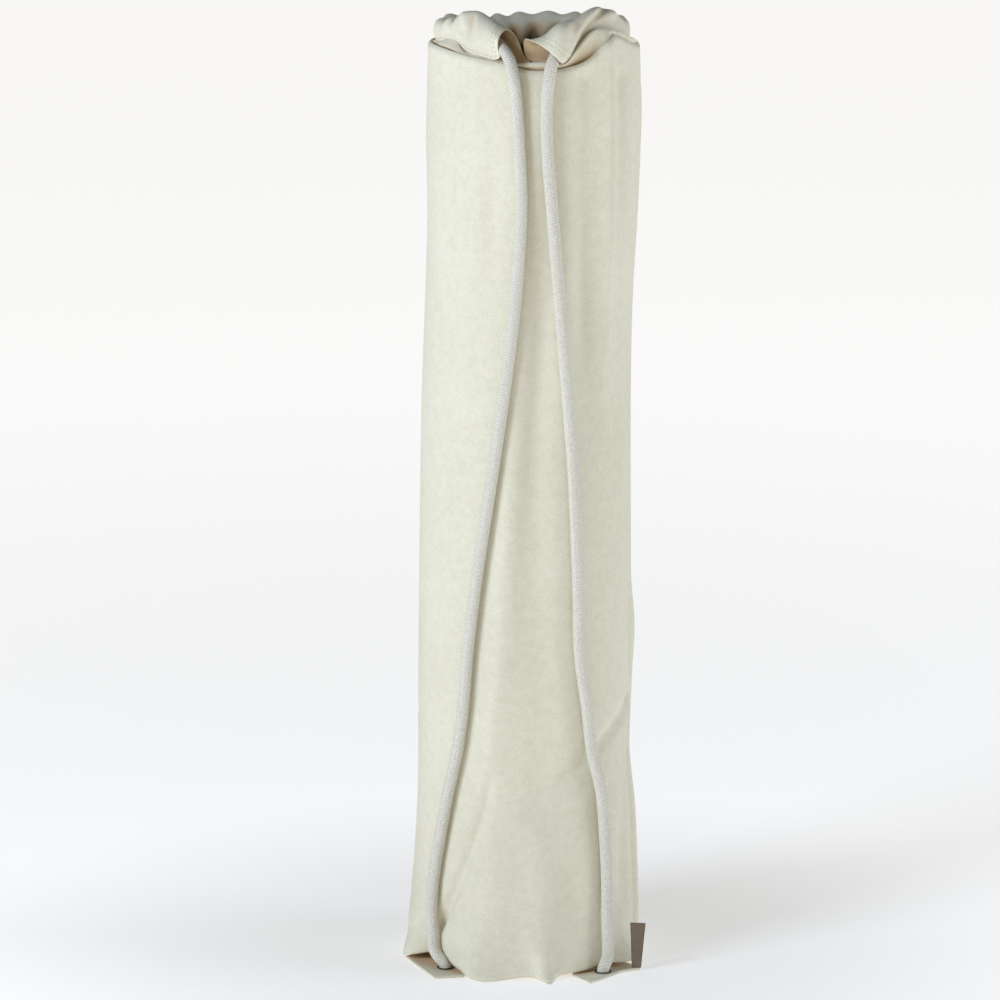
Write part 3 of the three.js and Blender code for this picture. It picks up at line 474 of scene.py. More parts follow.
def cord_on_cloth(angle, height, off):
    """The middle of the cord at a place, where a ball of the cord's size rests on the cloth."""
    reach = CORD_RADIUS + CORD_REST
    sway = float(lookup(SECTIONS, "up", "sway", height / SHOULDER_HEIGHT)) * ROLL_RADIUS
    middle = np.array([sway, 0, height])
    turn = math.radians(angle)
    outwards = np.array([math.sin(turn), -math.cos(turn), 0])
    near, rise = np.meshgrid(np.linspace(-1, 1, 9), np.linspace(-1, 1, 9))
    near = angle + near * math.degrees(reach / ROLL_RADIUS)
    top = rim_height(near, "wall_top")
    cloth = [wall_point(near, np.minimum(top, height + rise * reach)).reshape(-1, 3)]
    if height + reach > top.min():
        cloth.append(neck_point(*np.meshgrid(near[0], np.linspace(0, 1, 11))).reshape(-1, 3))
    away = np.concatenate(cloth) - middle
    along = away @ outwards
    aside = (away**2).sum(1) - along**2
    touching = aside < reach**2
    radius = (along + np.sqrt(np.maximum(0, reach**2 - aside)))[touching].max()
    return middle + outwards * (radius + off)


def floor_place(place):
    """A place on the floor from an angle and a share of the ears' reach."""
    turn = math.radians(place[0])
    return np.array([math.sin(turn), -math.cos(turn), 0]) * place[1] * EAR_REACH


def curve_through(points, step):
    """Even steps along the smooth curve through points, whose knots are the square roots of the
    distances between them, so that it doesn't loop between close points."""
    points = np.asarray(points)
    points = np.concatenate([[2 * points[0] - points[1]], points, [2 * points[-1] - points[-2]]])
    apart = np.linalg.norm(np.diff(points, axis=0), axis=1)
    knots = np.concatenate([[0], np.cumsum(np.sqrt(apart))])
    fine = np.linspace(knots[1], knots[-2], 4000)
    i = np.clip(np.searchsorted(knots, fine, side="right") - 1, 1, len(points) - 3)
    t = [knots[i + k][:, None] for k in (-1, 0, 1, 2)]
    p = [points[i + k] for k in (-1, 0, 1, 2)]
    s = fine[:, None]
    for first, gap, count in ((0, 1, 3), (0, 2, 2), (1, 1, 1)):
        ends = [(t[first + k], t[first + k + gap]) for k in range(count)]
        p = [mix(p[k], p[k + 1], (s - low) / (high - low)) for k, (low, high) in enumerate(ends)]
    line = p[0]
    length = np.concatenate([[0], np.cumsum(np.linalg.norm(np.diff(line, axis=0), axis=1))])
    even = np.linspace(0, length[-1], max(2, int(round(length[-1] / step)) + 1))
    return np.stack([np.interp(even, length, line[:, k]) for k in range(3)], 1)


def cord_run(inside, route, eyelet):
    """One free run of the cord: out of the channel, over the shoulder and down to its eyelet."""
    down = [cord_on_cloth(angle, up * SHOULDER_HEIGHT, off) for up, angle, off in route]
    hole = floor_place(eyelet) + [0, 0, CORD_REST]
    outwards = hole * [1, 1, 0] / math.hypot(hole[0], hole[1])
    bends = [
        mix(down[-1], hole, share) * [1, 1, 0] + outwards * out + [0, 0, height]
        for share, height, out in CORD_BENDS
    ]
    return [*channel_middle(np.array(inside, float)), *down, *bends, hole]


def make_mesh(name, points, faces, material, uv=None, smooth_shaded=True):
    """A mesh object from points in millimetres and faces, an array of corner numbers for each."""
    points = (np.asarray(points, float) + [0, BAG_BEHIND, 0]) / 1000
    mesh = bpy.data.meshes.new(name)
    mesh.from_pydata(points.tolist(), [], [list(map(int, f)) for f in faces])
    if uv is not None:
        layer = mesh.uv_layers.new(name="cloth")
        layer.data.foreach_set("uv", np.asarray(uv, np.float32).ravel())
    mesh.polygons.foreach_set("use_smooth", [smooth_shaded] * len(mesh.polygons))
    mesh.materials.append(material)
    obj = bpy.data.objects.new(name, mesh)
    bpy.context.collection.objects.link(obj)
    return obj


def grid_faces(rows, columns, close_rows, close_columns):
    """The four-cornered faces of a grid of points, row by row."""
    last_row = rows if close_rows else rows - 1
    last_column = columns if close_columns else columns - 1
    r, c = np.meshgrid(np.arange(last_row), np.arange(last_column), indexing="ij")
    r1, c1 = (r + 1) % rows, (c + 1) % columns
    corners = [r * columns + c, r * columns + c1, r1 * columns + c1, r1 * columns + c]
    return np.stack([k.ravel() for k in corners], 1)


def grid_uv(u, v, close_rows, close_columns):
    """The cloth coordinates of each face corner, in the order of grid_faces, from values along the
    columns and the rows. A closed direction has one value more, for the way round."""
    rows, columns = len(v) - 1, len(u) - 1
    r, c = np.meshgrid(np.arange(rows), np.arange(columns), indexing="ij")
    corners = [(r, c), (r, c + 1), (r + 1, c + 1), (r + 1, c)]
    return np.stack([np.stack([u[b].ravel(), v[a].ravel()], 1) for a, b in corners], 1)


def grid_normals(points, close_rows, close_columns):
    """Unit normals of a grid of points, from the differences between neighbours."""

    def difference(axis, closed):
        if closed:
            return np.roll(points, -1, axis) - np.roll(points, 1, axis)
        return np.gradient(points, axis=axis)

    normal = np.cross(difference(1, close_columns), difference(0, close_rows))
    return normal / np.maximum(np.linalg.norm(normal, axis=-1, keepdims=True), 1e-9)


class Field:
    """A value or colour in a material, from one node's output, that takes part in arithmetic."""

    def __init__(self, paint, socket):
        self.paint = paint
        self.socket = socket

    def _math(self, kind, *others):
        values = dict(enumerate((self, *others)))
        return self.paint.node("ShaderNodeMath", {"operation": kind}, values)

    def __add__(self, other):
        return self._math("ADD", other)

    __radd__ = __add__

    def __mul__(self, other):
        return self._math("MULTIPLY", other)

    __rmul__ = __mul__

    def __sub__(self, other):
        return self._math("SUBTRACT", other)

    def __rsub__(self, other):
        return self * -1 + other

    def __truediv__(self, other):
        return self._math("DIVIDE", other)

    def __abs__(self):
        return self._math("ABSOLUTE")

    def sin(self):
        return self._math("SINE")

    def fraction(self):
        return self._math("FRACT")

    def clamp(self, low=0.0, high=1.0):
        return self._math("MAXIMUM", low)._math("MINIMUM", high)

    def ramp(self, low, high):
        """0 below low, 1 above high, smooth between."""
        values = {"Value": self, "From Min": low, "From Max": high}
        return self.paint.node("ShaderNodeMapRange", {"interpolation_type": "SMOOTHSTEP"}, values)

    def blend(self, dark, light):
        """The colour from dark, where this value is 0, to light, where it is 1."""
        values = {"Factor": self, 6: dark, 7: light}
        return self.paint.node("ShaderNodeMix", {"data_type": "RGBA"}, values, output=2)


class Paint:
    """A material, whose nodes are made one at a time with node()."""

    def __init__(self, name):
        self.material = bpy.data.materials.new(name)
        self.material.use_nodes = True
        self.tree = self.material.node_tree
        self.surface = self.tree.nodes["Principled BSDF"]

    def node(self, kind, settings, values, output=0):
        """A node of any kind with its settings and socket values, as the Field of one output."""
        made = self.tree.nodes.new(kind)
        for name, value in settings.items():
            setattr(made, name, value)
        self.fill(made, values)
        return Field(self, made.outputs[output])

    def fill(self, made, values):
        """Links or sets a node's inputs."""
        for name, value in values.items():
            if isinstance(value, Field):
                self.tree.links.new(value.socket, made.inputs[name])
            elif isinstance(value, tuple) and len(value) == 3 and made.inputs[name].type == "RGBA":
                made.inputs[name].default_value = (*value, 1)
            else:
                made.inputs[name].default_value = value

    def noise(self, place, size, detail=2.0, roughness=0.5):
        """Noise from 0 to 1 whose blots are about size metres across."""
        values = {"Vector": place, "Scale": 1 / size, "Detail": detail, "Roughness": roughness}
        return self.node("ShaderNodeTexNoise", {}, values)

    def object_place(self):
        return self.node("ShaderNodeTexCoord", {}, {}, output="Object")

    def cloth_place(self):
        """The place on the cloth, in metres: across, then along."""
        place = self.node("ShaderNodeUVMap", {"uv_map": "cloth"}, {})
        return [self.node("ShaderNodeSeparateXYZ", {}, {0: place}, output=k) for k in (0, 1)]

    def bump(self, height, distance, strength=1.0):
        """The normal of a surface raised by height times distance, in metres."""
        values = {"Height": height, "Distance": distance, "Strength": strength}
        return self.node("ShaderNodeBump", {}, values)


def cotton(name, light, dark, crease_shade_colour, deep_shade_colour):
    """Cream cotton canvas: a fine twill with a soft nap, slightly uneven in colour. Painted shade
    makes it tan in creases and tucks and brown inside the bag and the hem."""
    paint = Paint(name)
    place = paint.object_place()
    across, along = paint.cloth_place()
    grain = paint.noise(place, 0.0011, 3, 0.65)
    slub = paint.noise(place, 0.006, 2)
    cloud = paint.noise(place, 0.09, 2)
    twill = ((across + along) * (2 * math.pi / 0.0011)).sin() * 0.5 + 0.5
    tone = (grain * 0.55 + slub * 0.25 + cloud * 0.2).ramp(0.36, 0.62)
    # Painted shade from a point attribute: tan in creases and tucks, then brown inside.
    tuck = paint.node("ShaderNodeAttribute", {"attribute_name": "tuck"}, {}, output="Fac")
    colour = tuck.ramp(0.0, 0.55).blend(tone.blend(dark, light), crease_shade_colour)
    colour = tuck.ramp(0.55, 1.0).blend(colour, deep_shade_colour)
    height = grain * 0.6 + twill * 0.25 + slub * 0.4
    paint.fill(
        paint.surface,
        {
            "Base Color": colour,
            "Roughness": 0.92,
            "Specular IOR Level": 0.15,
            "Sheen Weight": 0.15,
            "Sheen Roughness": 0.6,
            "Normal": paint.bump(height, 0.0004, 0.55),
        },
    )
    return paint.material


def braid_cotton(name):
    """White braided cotton: rows of slanting strands with fine flecks, and painted shade that greys
    the grooves between the strands.
    """
    paint = Paint(name)
    place = paint.object_place()
    around, along = paint.cloth_place()
    column = around * BRAID_ROWS
    side = ((column * 0.5).fraction() - 0.5).ramp(-0.02, 0.02)
    slant = (column.fraction() - 0.5) * (side * 2 - 1)
    strand = ((along / (BRAID_PITCH / 1000) + slant) * (2 * math.pi)).sin() * 0.5 + 0.5
    edge = (abs(column.fraction() - 0.5) * 2).ramp(0.7, 1.0)
    raised = (strand.ramp(0.0, 0.7) * (1 - edge * 0.5)).clamp()
    fleck = paint.noise(place, 0.0011, 3, 0.7)
    # The grooves between the strands are darker: painted shade.
    tone = (raised * 0.5 + fleck.ramp(0.3, 0.62) * 0.6).clamp()
    paint.fill(
        paint.surface,
        {
            "Base Color": tone.blend((0.59, 0.55, 0.47), (0.92, 0.89, 0.79)),
            "Roughness": 0.9,
            "Specular IOR Level": 0.15,
            "Normal": paint.bump(raised + fleck * 0.6, 0.0004, 0.7),
        },
    )
    return paint.material


def sewing_thread(name):
    """Cream thread with a fine grain."""
    paint = Paint(name)
    speckle = paint.noise(paint.object_place(), 0.0008, 2)
    values = {
        "Base Color": speckle.blend((0.648, 0.608, 0.496), (0.81, 0.76, 0.62)),
        "Roughness": 0.85,
        "Normal": paint.bump(speckle, 0.0001),
    }
    paint.fill(paint.surface, values)
    return paint.material


def worn_metal(name):
    """Dark plated metal, duller and browner where it is rubbed."""
    paint = Paint(name)
    place = paint.object_place()
    rubbed = paint.noise(place, 0.004, 3).ramp(0.4, 0.65)
    scratch = paint.noise(place, 0.0005, 2)
    values = {
        "Base Color": rubbed.blend((0.06, 0.058, 0.055), (0.16, 0.14, 0.115)),
        "Roughness": rubbed * 0.25 + 0.28,
        "Metallic": 1.0,
        "Normal": paint.bump(scratch, 0.00006),
    }
    paint.fill(paint.surface, values)
    return paint.material


def label_ribbon(name):
    """Taupe woven ribbon with a fine rib across and a darker line beside its edges."""
    paint = Paint(name)
    across, along = paint.cloth_place()
    place = paint.object_place()
    rib = (along * (2 * math.pi * 46)).sin() * 0.5 + 0.5
    grain = paint.noise(place, 0.0009, 3, 0.6)
    beside = abs(across - 0.5) * 2
    edge = beside.ramp(0.84, 0.92) * (1 - beside.ramp(0.92, 1.0))
    tone = (grain.ramp(0.3, 0.7) * 0.6 + rib * 0.4 - edge * 0.7).clamp()
    values = {
        "Base Color": tone.blend((0.14, 0.105, 0.07), (0.25, 0.195, 0.14)),
        "Roughness": 0.85,
        "Specular IOR Level": 0.2,
        "Sheen Weight": 0.2,
        "Normal": paint.bump(rib * 0.6 + grain * 0.5, 0.0002, 0.6),
    }
    paint.fill(paint.surface, values)
    return paint.material


def hollow(points, reach, close_columns):
    """How hollow a grid of points is: how far the middle between two points on either side, reach
    steps away, lies outside the surface, in millimetres. It takes the larger of both directions."""
    normal = grid_normals(points, False, close_columns)
    most = np.zeros(points.shape[:2])
    for axis, closed in ((1, close_columns), (0, False)):
        if closed:
            middle = (np.roll(points, reach, axis) + np.roll(points, -reach, axis)) / 2
        else:
            steps = np.arange(points.shape[axis])
            before = np.maximum(steps - reach, 0)
            after = np.minimum(steps + reach, len(steps) - 1)
            middle = (np.take(points, before, axis) + np.take(points, after, axis)) / 2
            edge = (steps < reach) | (steps > len(steps) - 1 - reach)
            edge = edge[:, None, None] if axis == 0 else edge[None, :, None]
            middle = np.where(edge, points, middle)
        most = np.maximum(most, ((middle - points) * normal).sum(-1))
    return most


def set_painted_shade(obj, values):
    """Stores for each point how much painted shade its colour gets there, from 0 to 1."""
    layer = obj.data.attributes.new("tuck", "FLOAT", "POINT")
    layer.data.foreach_set("value", np.asarray(values, np.float32).ravel())


def make_bag(material):
    """The bag from the middle of its floor up to the stitching, then back down inside.

    Each column is a profile: over the floor, up the wall, over the shoulder, in along the neck and
    up to the hem's underside, and then the same profile again set in by the cloth's thickness.
    """
    turns = np.arange(WALL_COLUMNS) / WALL_COLUMNS
    angle = 360 * turns - FRONT_SHARE * np.sin(2 * np.pi * turns)
    foot = foot_height(angle)
    top = rim_height(angle, "wall_top")
    edge = wall_point(angle, foot)
    rows = []
    for share in FLOOR_SHARES:
        flat = edge * share
        flat[:, 2] = foot * smooth(share, 0.6, 0.84)
        rows.append(flat)
    spans = [np.linspace(*span, count, endpoint=False) for span, count in WALL_SPANS]
    rows += [wall_point(angle, mix(foot, top, level)) for level in np.concatenate(spans)]
    neck = np.linspace(0, 1, NECK_ROWS)
    rows += [neck_point(angle, np.full(WALL_COLUMNS, share)) for share in neck]
    outside = np.array(rows)
    normals = grid_normals(outside, False, True)
    inside = outside - CLOTH_WALL * normals
    # Painted shade: tan in the crease under the fold and up the neck, a little on the bag's floor.
    creased = rim_at(angle, "tuck") / 0.05
    share = neck[:, None]
    tuck = np.zeros(outside.shape[:2])
    tuck[: len(FLOOR_SHARES)] = 0.3
    left = np.exp(-(((angle + 64) / 20) ** 2)) + np.exp(-(((angle - 296) / 20) ** 2))
    crease_shade = smooth(share, 0.16, 0.36) * (1 - smooth(share, 0.45, 0.9)) * 0.5 * creased
    under = smooth(share, 0.2, 0.5) * (0.12 - 0.04 * left) * creased
    tuck[-NECK_ROWS:] = np.maximum(crease_shade, under)
    count = len(rows)
    lower = len(FLOOR_SHARES) + WALL_SPANS[0][1] + WALL_SPANS[1][1]
    starts = (0, lower, count - NECK_ROWS, count - 1, count)
    keep = [np.arange(*ends, step) for *ends, step in zip(starts, starts[1:], INSIDE_STEPS)]
    keep = np.concatenate(keep)[::-1]
    points = np.concatenate([outside, inside[keep]])
    # The inner skin gets brown painted shade.
    tucks = np.concatenate([tuck, np.full((len(keep), WALL_COLUMNS), 0.75)])
    count = len(points)
    faces = grid_faces(count, WALL_COLUMNS, False, True)
    u = np.radians(np.append(angle, 360)) * ROLL_RADIUS / 1000
    v = points[:, 0, 2] / 1000
    uv = grid_uv(u, v, False, True)
    flat = points.reshape(-1, 3)
    first, last = len(flat), len(flat) + 1
    column = np.arange(WALL_COLUMNS)
    following = (column + 1) % WALL_COLUMNS
    end = (count - 1) * WALL_COLUMNS
    poles = [(first, int(b), int(a)) for a, b in zip(column, following)]
    poles += [(last, int(end + a), int(end + b)) for a, b in zip(column, following)]
    flat = np.concatenate([flat, [[0, 0, 0], [0, 0, CLOTH_WALL]]])
    uv = np.concatenate([uv.reshape(-1, 2), np.zeros((3 * len(poles), 2))])
    bag = make_mesh("canvas_bag", flat, faces.tolist() + poles, material, uv)
    set_painted_shade(bag, np.append(tucks.ravel(), [0.3, 0.75]))
    return bag


def make_channel(material):
    """The hem that holds the drawstring: a tube of cloth round the mouth, open at both ends, whose
    inner skin is the outer one set in by the cloth's thickness."""
    around = np.arange(CHANNEL_SIDES) / CHANNEL_SIDES
    left = lookup(CHANNEL_ENDS, "round", "left", around)
    right = lookup(CHANNEL_ENDS, "round", "right", around)
    along = np.linspace(0, 1, CHANNEL_COLUMNS + 1)[:, None]
    angle = mix(left, right - 360, along)
    outside = channel_point(angle, np.broadcast_to(around, angle.shape))
    wall = CLOTH_WALL * mix(0.55, 1, smooth(np.minimum(along, 1 - along), 0, 0.02))[..., None]
    inside = outside - wall * grid_normals(outside, False, True)
    points = np.concatenate([outside, inside[::-1]])
    faces = grid_faces(len(points), CHANNEL_SIDES, True, True)
    u = np.append(around, 1) * 0.07
    v = np.concatenate([angle[:, 0], angle[::-1, 0], angle[:1, 0]])
    v = np.radians(v) * ROLL_RADIUS * 0.75 / 1000
    uv = grid_uv(u, v, True, True)
    points, uv = points.reshape(-1, 3), uv.reshape(-1, 2)
    channel = make_mesh("cord_channel_cloth", points, faces, material, uv)
    # Painted shade: darker by the stitching, in hollows, at the pulls, and inside at the back
    # between the gathers.
    seam = 1 - smooth(np.minimum(around, 1 - around), 0.0, 0.08)
    gathered = rim_at(angle, "gather")
    behind = smooth(around, 0.49, 0.62) * (1 - smooth(around, 0.97, 1.0))
    inside_back_shade = smooth(around, 0.56, 0.76) * (1 - smooth(around, 0.97, 1.0))
    tuck = 0.2 * seam + 0.22 * np.clip(hollow(outside, 3, True) / 0.8, 0, 1) ** 1.5
    tuck = tuck + pulled(angle, around)[3]
    tuck = tuck + behind * (0.2 + gathered * (0.25 - 0.22 * gather_wave(angle)))
    tuck = tuck + inside_back_shade * gathered * 0.45
    # The inner skin gets brown painted shade.
    set_painted_shade(channel, np.concatenate([np.clip(tuck, 0, 1), np.full(angle.shape, 0.68)]))
    return channel


def make_cord(name, points, material, sides=48, step=0.5):
    """A round braided cord along points: each ring is round the centreline, with the strands
    raised in slanting rows that lean one way and the other in turn."""
    line = curve_through(points, step)
    ahead = np.gradient(line, axis=0)
    ahead /= np.linalg.norm(ahead, axis=1, keepdims=True)
    out = line * [1, 1, 0] - [MOUTH_X, 0, 0]
    out -= (out * ahead).sum(1, keepdims=True) * ahead
    out /= np.linalg.norm(out, axis=1, keepdims=True)
    across = np.cross(ahead, out)
    share = np.arange(sides) / sides
    run = np.arange(len(line))[:, None] * step
    column = share * BRAID_ROWS
    side = np.where(column % 2 < 1, 1.0, -1.0)
    strand = 0.5 + 0.5 * np.sin(2 * np.pi * (run / BRAID_PITCH + (column % 1 - 0.5) * side))
    between = 1 - smooth(np.abs(column % 1 - 0.5) * 2, 0.7, 1.0) * 0.6
    radius = CORD_RADIUS - 0.22 + 0.32 * strand * between
    turn = 2 * np.pi * share
    ring = out[:, None] * np.cos(turn)[:, None] + across[:, None] * np.sin(turn)[:, None]
    rings = line[:, None] + ring * radius[..., None]
    ends = [line[0], line[-1]]
    points = np.concatenate([rings.reshape(-1, 3), ends])
    faces = grid_faces(len(line), sides, False, True).tolist()
    first, last = len(points) - 2, len(points) - 1
    start = (len(line) - 1) * sides
    count = range(sides)
    faces += [(first, k, (k + 1) % sides)[::-1] for k in count]
    faces += [(last, start + k, start + (k + 1) % sides) for k in count]
    uv = grid_uv(np.append(share, 1), np.arange(len(line)) * step / 1000, False, True)
    uv = np.concatenate([uv.reshape(-1, 2), np.zeros((6 * sides, 2))])
    cord = make_mesh(name, points, faces, material, uv)
    return cord, line


def make_ear(name, outline, eyelet, material):
    """A folded corner of the bag that lies flat: two layers of canvas with a hole for the cord.

    Going round the hole, the section runs out to the outline over the top, round the folded
    edge, where the two layers part a little, and back underneath. A groove is pressed in by the
    stitching beside the edge.
    """
    corners = np.array([floor_place(place)[:2] for place in outline])
    corners = np.concatenate([corners, corners[:1]])
    length = np.concatenate([[0], np.cumsum(np.hypot(*np.diff(corners, axis=0).T))])
    even = np.arange(EAR_COLUMNS) / EAR_COLUMNS * length[-1]
    rim = np.stack([np.interp(even, length, corners[:, k]) for k in (0, 1)], 1)
    rim = (np.roll(rim, 1, 0) + 2 * rim + np.roll(rim, -1, 0)) / 4
    hole = floor_place(eyelet)[:2]
    away = np.hypot(*(rim - hole).T)[:, None]
    ahead = (rim - hole) / away
    bore = EYELET_BORE / 2
    across = np.linspace(0, 1, 15)[:-1, None, None]
    turn_in = np.array([3.4, 2.8, 2.4, 2.0, 1.4, 0.7, 0.25, 0.0, 0.45, 0.0, 0.25, 0.7])
    turn_in = turn_in[:, None, None]
    level = [1, 0.9, 0.84, 0.9, 1, 0.98, 0.9, 0.74, 0.5, 0.26, 0.1, 0.02]
    over = bore + (away - bore - 3.4) * across
    out = np.concatenate([over, away - turn_in, over[::-3]])
    inset = np.concatenate([np.full(14, 9.0), turn_in[:, 0, 0], np.full(5, 9.0)])
    height = np.concatenate([np.ones(14), level, np.zeros(5)]) * EAR_WALL
    flat = hole + ahead * out
    points = np.concatenate([flat, np.broadcast_to(height[:, None, None], (*flat.shape[:2], 1))], 2)
    top = slice(0, 26)
    rumple = 0.25 * np.sin(flat[top, :, 0] / 9) * np.cos(flat[top, :, 1] / 7)
    points[top, :, 2] += rumple * (height[top, None] / EAR_WALL - 0.5)
    faces = grid_faces(len(points), EAR_COLUMNS, True, True)
    points = points.reshape(-1, 3)
    ear = make_mesh(name, points, faces, material, (points[faces][..., :2] / 1000).reshape(-1, 2))
    # Painted shade on the ear's top: tan near the bag's overhanging wall, faint elsewhere, less on
    # the fold.
    near = 1 - smooth(np.hypot(points[:, 0], points[:, 1]) / EAR_REACH, 0.8, 1.02)
    rim_share = np.broadcast_to((inset < 2.2)[:, None], flat.shape[:2]).ravel()
    tuck = np.where(rim_share, 0.4 * near, 0.1 + 0.5 * near)
    set_painted_shade(ear, tuck * (points[:, 2] > 0.3 * EAR_WALL))
    return ear


def make_eyelet(name, eyelet, material):
    """A rolled metal ring: an oval section turned round the hole."""
    turn = 2 * np.pi * np.arange(72)[:, None] / 72
    around = 2 * np.pi * np.arange(20) / 20
    radius = (EYELET_FLANGE + EYELET_BORE) / 4 + (EYELET_FLANGE - EYELET_BORE) / 4 * np.cos(around)
    height = EAR_WALL + SEAT + EYELET_RISE * (0.5 + 0.5 * np.sin(around))
    ring = np.stack(np.broadcast_arrays(radius * np.cos(turn), radius * np.sin(turn), height), -1)
    faces = grid_faces(72, 20, True, True)
    return make_mesh(name, (ring + floor_place(eyelet)).reshape(-1, 3), faces, material)


def make_label(material):
    """The bare label in the side seam: a ribbon folded on itself, so that its outer edge is round.

    The section runs out along the front, half round the fold and back, and the sides are straight
    lines from the bottom's width to the top's. The ribbon bows by the sine of its height.
    """
    seam = wall_point(*LABEL_SEAM)
    out = np.array([1, -0.15, 0]) / math.hypot(1, 0.15)
    front = np.array([out[1], -out[0], 0])
    root = seam * [1, 1, 0] + [0, 0, EAR_WALL + SEAT] + out * 2 * SEAT
    up = np.linspace(0, 1, 30)[:, None]
    start, end = (mix(low, high, up) * LABEL_REACH for low, high in LABEL_SIDES)
    half = LABEL_WALL / 2
    flat = np.linspace(0, 1, 14)
    fold = np.linspace(0, np.pi, 9)[1:-1]
    folded = end - half + half * np.sin(fold)
    across = [mix(start, end - half, flat), folded, mix(start, end - half, flat[::-1])]
    across = np.concatenate(across, 1)
    puffed = 0.12 * np.sin(np.pi * flat)
    thick = np.concatenate([half + puffed, half * np.cos(fold), -half - puffed[::-1]])
    bow = 0.5 * np.sin(np.pi * up) * smooth(across / LABEL_REACH, 0, 1)
    points = root + across[..., None] * out + (thick + half + 0.1 + bow)[..., None] * front
    points = points + np.array([0, 0, LABEL_HEIGHT]) * up[..., None]
    rows, columns = across.shape
    faces = grid_faces(rows, columns, False, True)
    uv = np.stack([(across - start) / (end - start), np.broadcast_to(up, across.shape)], 2)
    uv = uv.reshape(-1, 2)
    ends = [list(range(columns))[::-1], list(range((rows - 1) * columns, rows * columns))]
    uv = np.concatenate([uv[faces].reshape(-1, 2), uv[ends[0]], uv[ends[1]]])
    return make_mesh("bare_label", points.reshape(-1, 3), faces.tolist() + ends, material, uv)


def make_stitches(name, lines, material):
    """Rows of short stitches. Each is an oval bead whose radius goes as the sine of the way along
    it, laid every few millimetres along a line given by its points and the cloth's normals."""
    beads = []
    for line, normal in lines:
        length = np.concatenate([[0], np.cumsum(np.linalg.norm(np.diff(line, axis=0), axis=1))])
        even = np.arange(STITCH_PITCH / 2, length[-1] - STITCH_PITCH / 2, STITCH_PITCH)
        ways = (line, np.gradient(line, length, axis=0), normal)
        beads.append([[np.interp(even, length, k[:, i]) for i in range(3)] for k in ways])
    middle, ahead, out = np.concatenate(beads, 2).transpose(0, 2, 1)[..., None, None, :]
    ahead = ahead / np.linalg.norm(ahead, axis=-1, keepdims=True)
    out = out - (out * ahead).sum(-1, keepdims=True) * ahead
    out = out / np.linalg.norm(out, axis=-1, keepdims=True)
    side = np.cross(ahead, out)
    way = (np.pi * np.array([0.08, 0.3, 0.5, 0.7, 0.92]))[:, None, None]
    turn = (2 * np.pi * np.arange(8) / 8)[None, :, None]
    round_it = out * np.cos(turn) + side * np.sin(turn)
    points = middle - ahead * np.cos(way) * STITCH_LENGTH / 2
    points = points + round_it * np.sin(way) * STITCH_WIDTH / 2
    count = len(points)
    first = 40 * np.arange(count)[:, None, None]
    quads = grid_faces(5, 8, False, True) + first
    caps = np.array([range(8), range(39, 31, -1)]) + first
    faces = quads.reshape(-1, 4).tolist() + caps[:, :, ::-1].reshape(-1, 8).tolist()
    return make_mesh(name, points.reshape(-1, 3), faces, material)


def hem_lines():
    """Where the channel is stitched: along its lower edge and beside its two open ends."""
    lines = []

    def add(along, around):
        left = lookup(CHANNEL_ENDS, "round", "left", around)
        right = lookup(CHANNEL_ENDS, "round", "right", around)
        angle = mix(left, right - 360, along)
        line = channel_point(angle, around)
        over = channel_point(angle, around + 0.01) - line
        beside = channel_point(angle + 0.2, around) - line
        normal = np.cross(beside, over)
        normal /= np.maximum(np.linalg.norm(normal, axis=1, keepdims=True), 1e-9)
        lines.append((line + normal * 0.1, normal))

    for inset in END_STITCHES:
        around = np.linspace(0.1, 0.5, 60)
        add(np.full(60, inset), around)
        add(np.full(60, 1 - inset), around)
    along = np.linspace(0.012, 0.988, 900)
    add(along, np.full(900, 0.1))
    return lines


def outward(obj):
    """Turns the faces of a closed mesh to look outwards."""
    mesh = obj.data
    points = np.empty(3 * len(mesh.vertices))
    mesh.vertices.foreach_get("co", points)
    mesh.calc_loop_triangles()
    corners = np.empty(3 * len(mesh.loop_triangles), int)
    mesh.loop_triangles.foreach_get("vertices", corners)
    a, b, c = points.reshape(-1, 3)[corners.reshape(-1, 3)].transpose(1, 0, 2)
    if (a * np.cross(b, c)).sum() < 0:
        mesh.flip_normals()
    return obj


# The frame, and the camera at the photograph's angle.
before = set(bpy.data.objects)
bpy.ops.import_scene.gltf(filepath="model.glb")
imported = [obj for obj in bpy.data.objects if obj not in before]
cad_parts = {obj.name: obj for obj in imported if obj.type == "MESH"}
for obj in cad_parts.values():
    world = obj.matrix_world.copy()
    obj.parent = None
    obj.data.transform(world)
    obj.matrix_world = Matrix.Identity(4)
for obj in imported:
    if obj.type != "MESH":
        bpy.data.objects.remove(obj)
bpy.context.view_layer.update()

CAMERA_DISTANCE = 5.0
CAMERA_RISE = math.radians(12)
TARGET = Vector((-0.0177, BAG_BEHIND / 1000, 0.342))
camera = bpy.data.objects.new("camera", bpy.data.cameras.new("camera"))
bpy.context.collection.objects.link(camera)
back = Vector((0, -math.cos(CAMERA_RISE), math.sin(CAMERA_RISE)))
camera.location = TARGET + back * CAMERA_DISTANCE
camera.rotation_mode = "QUATERNION"
camera.rotation_quaternion = (-back).to_track_quat("-Z", "Y")
camera.data.sensor_width = 36
camera.data.lens = 244.2
bpy.context.scene.camera = camera

# The last colour here is brown painted shade; each cotton's third colour is tan painted shade.
cream, shaded, deep_shade_colour = (0.86, 0.825, 0.675), (0.76, 0.72, 0.57), (0.3, 0.22, 0.13)
canvas = cotton("canvas", cream, shaded, (0.66, 0.5, 0.3), deep_shade_colour)
hem = cotton("canvas_hem", cream, shaded, (0.68, 0.5, 0.3), deep_shade_colour)
braid = braid_cotton("cord_cotton")
gunmetal = worn_metal("gunmetal")
ribbon = label_ribbon("label_cloth")
thread = sewing_thread("hem_thread")



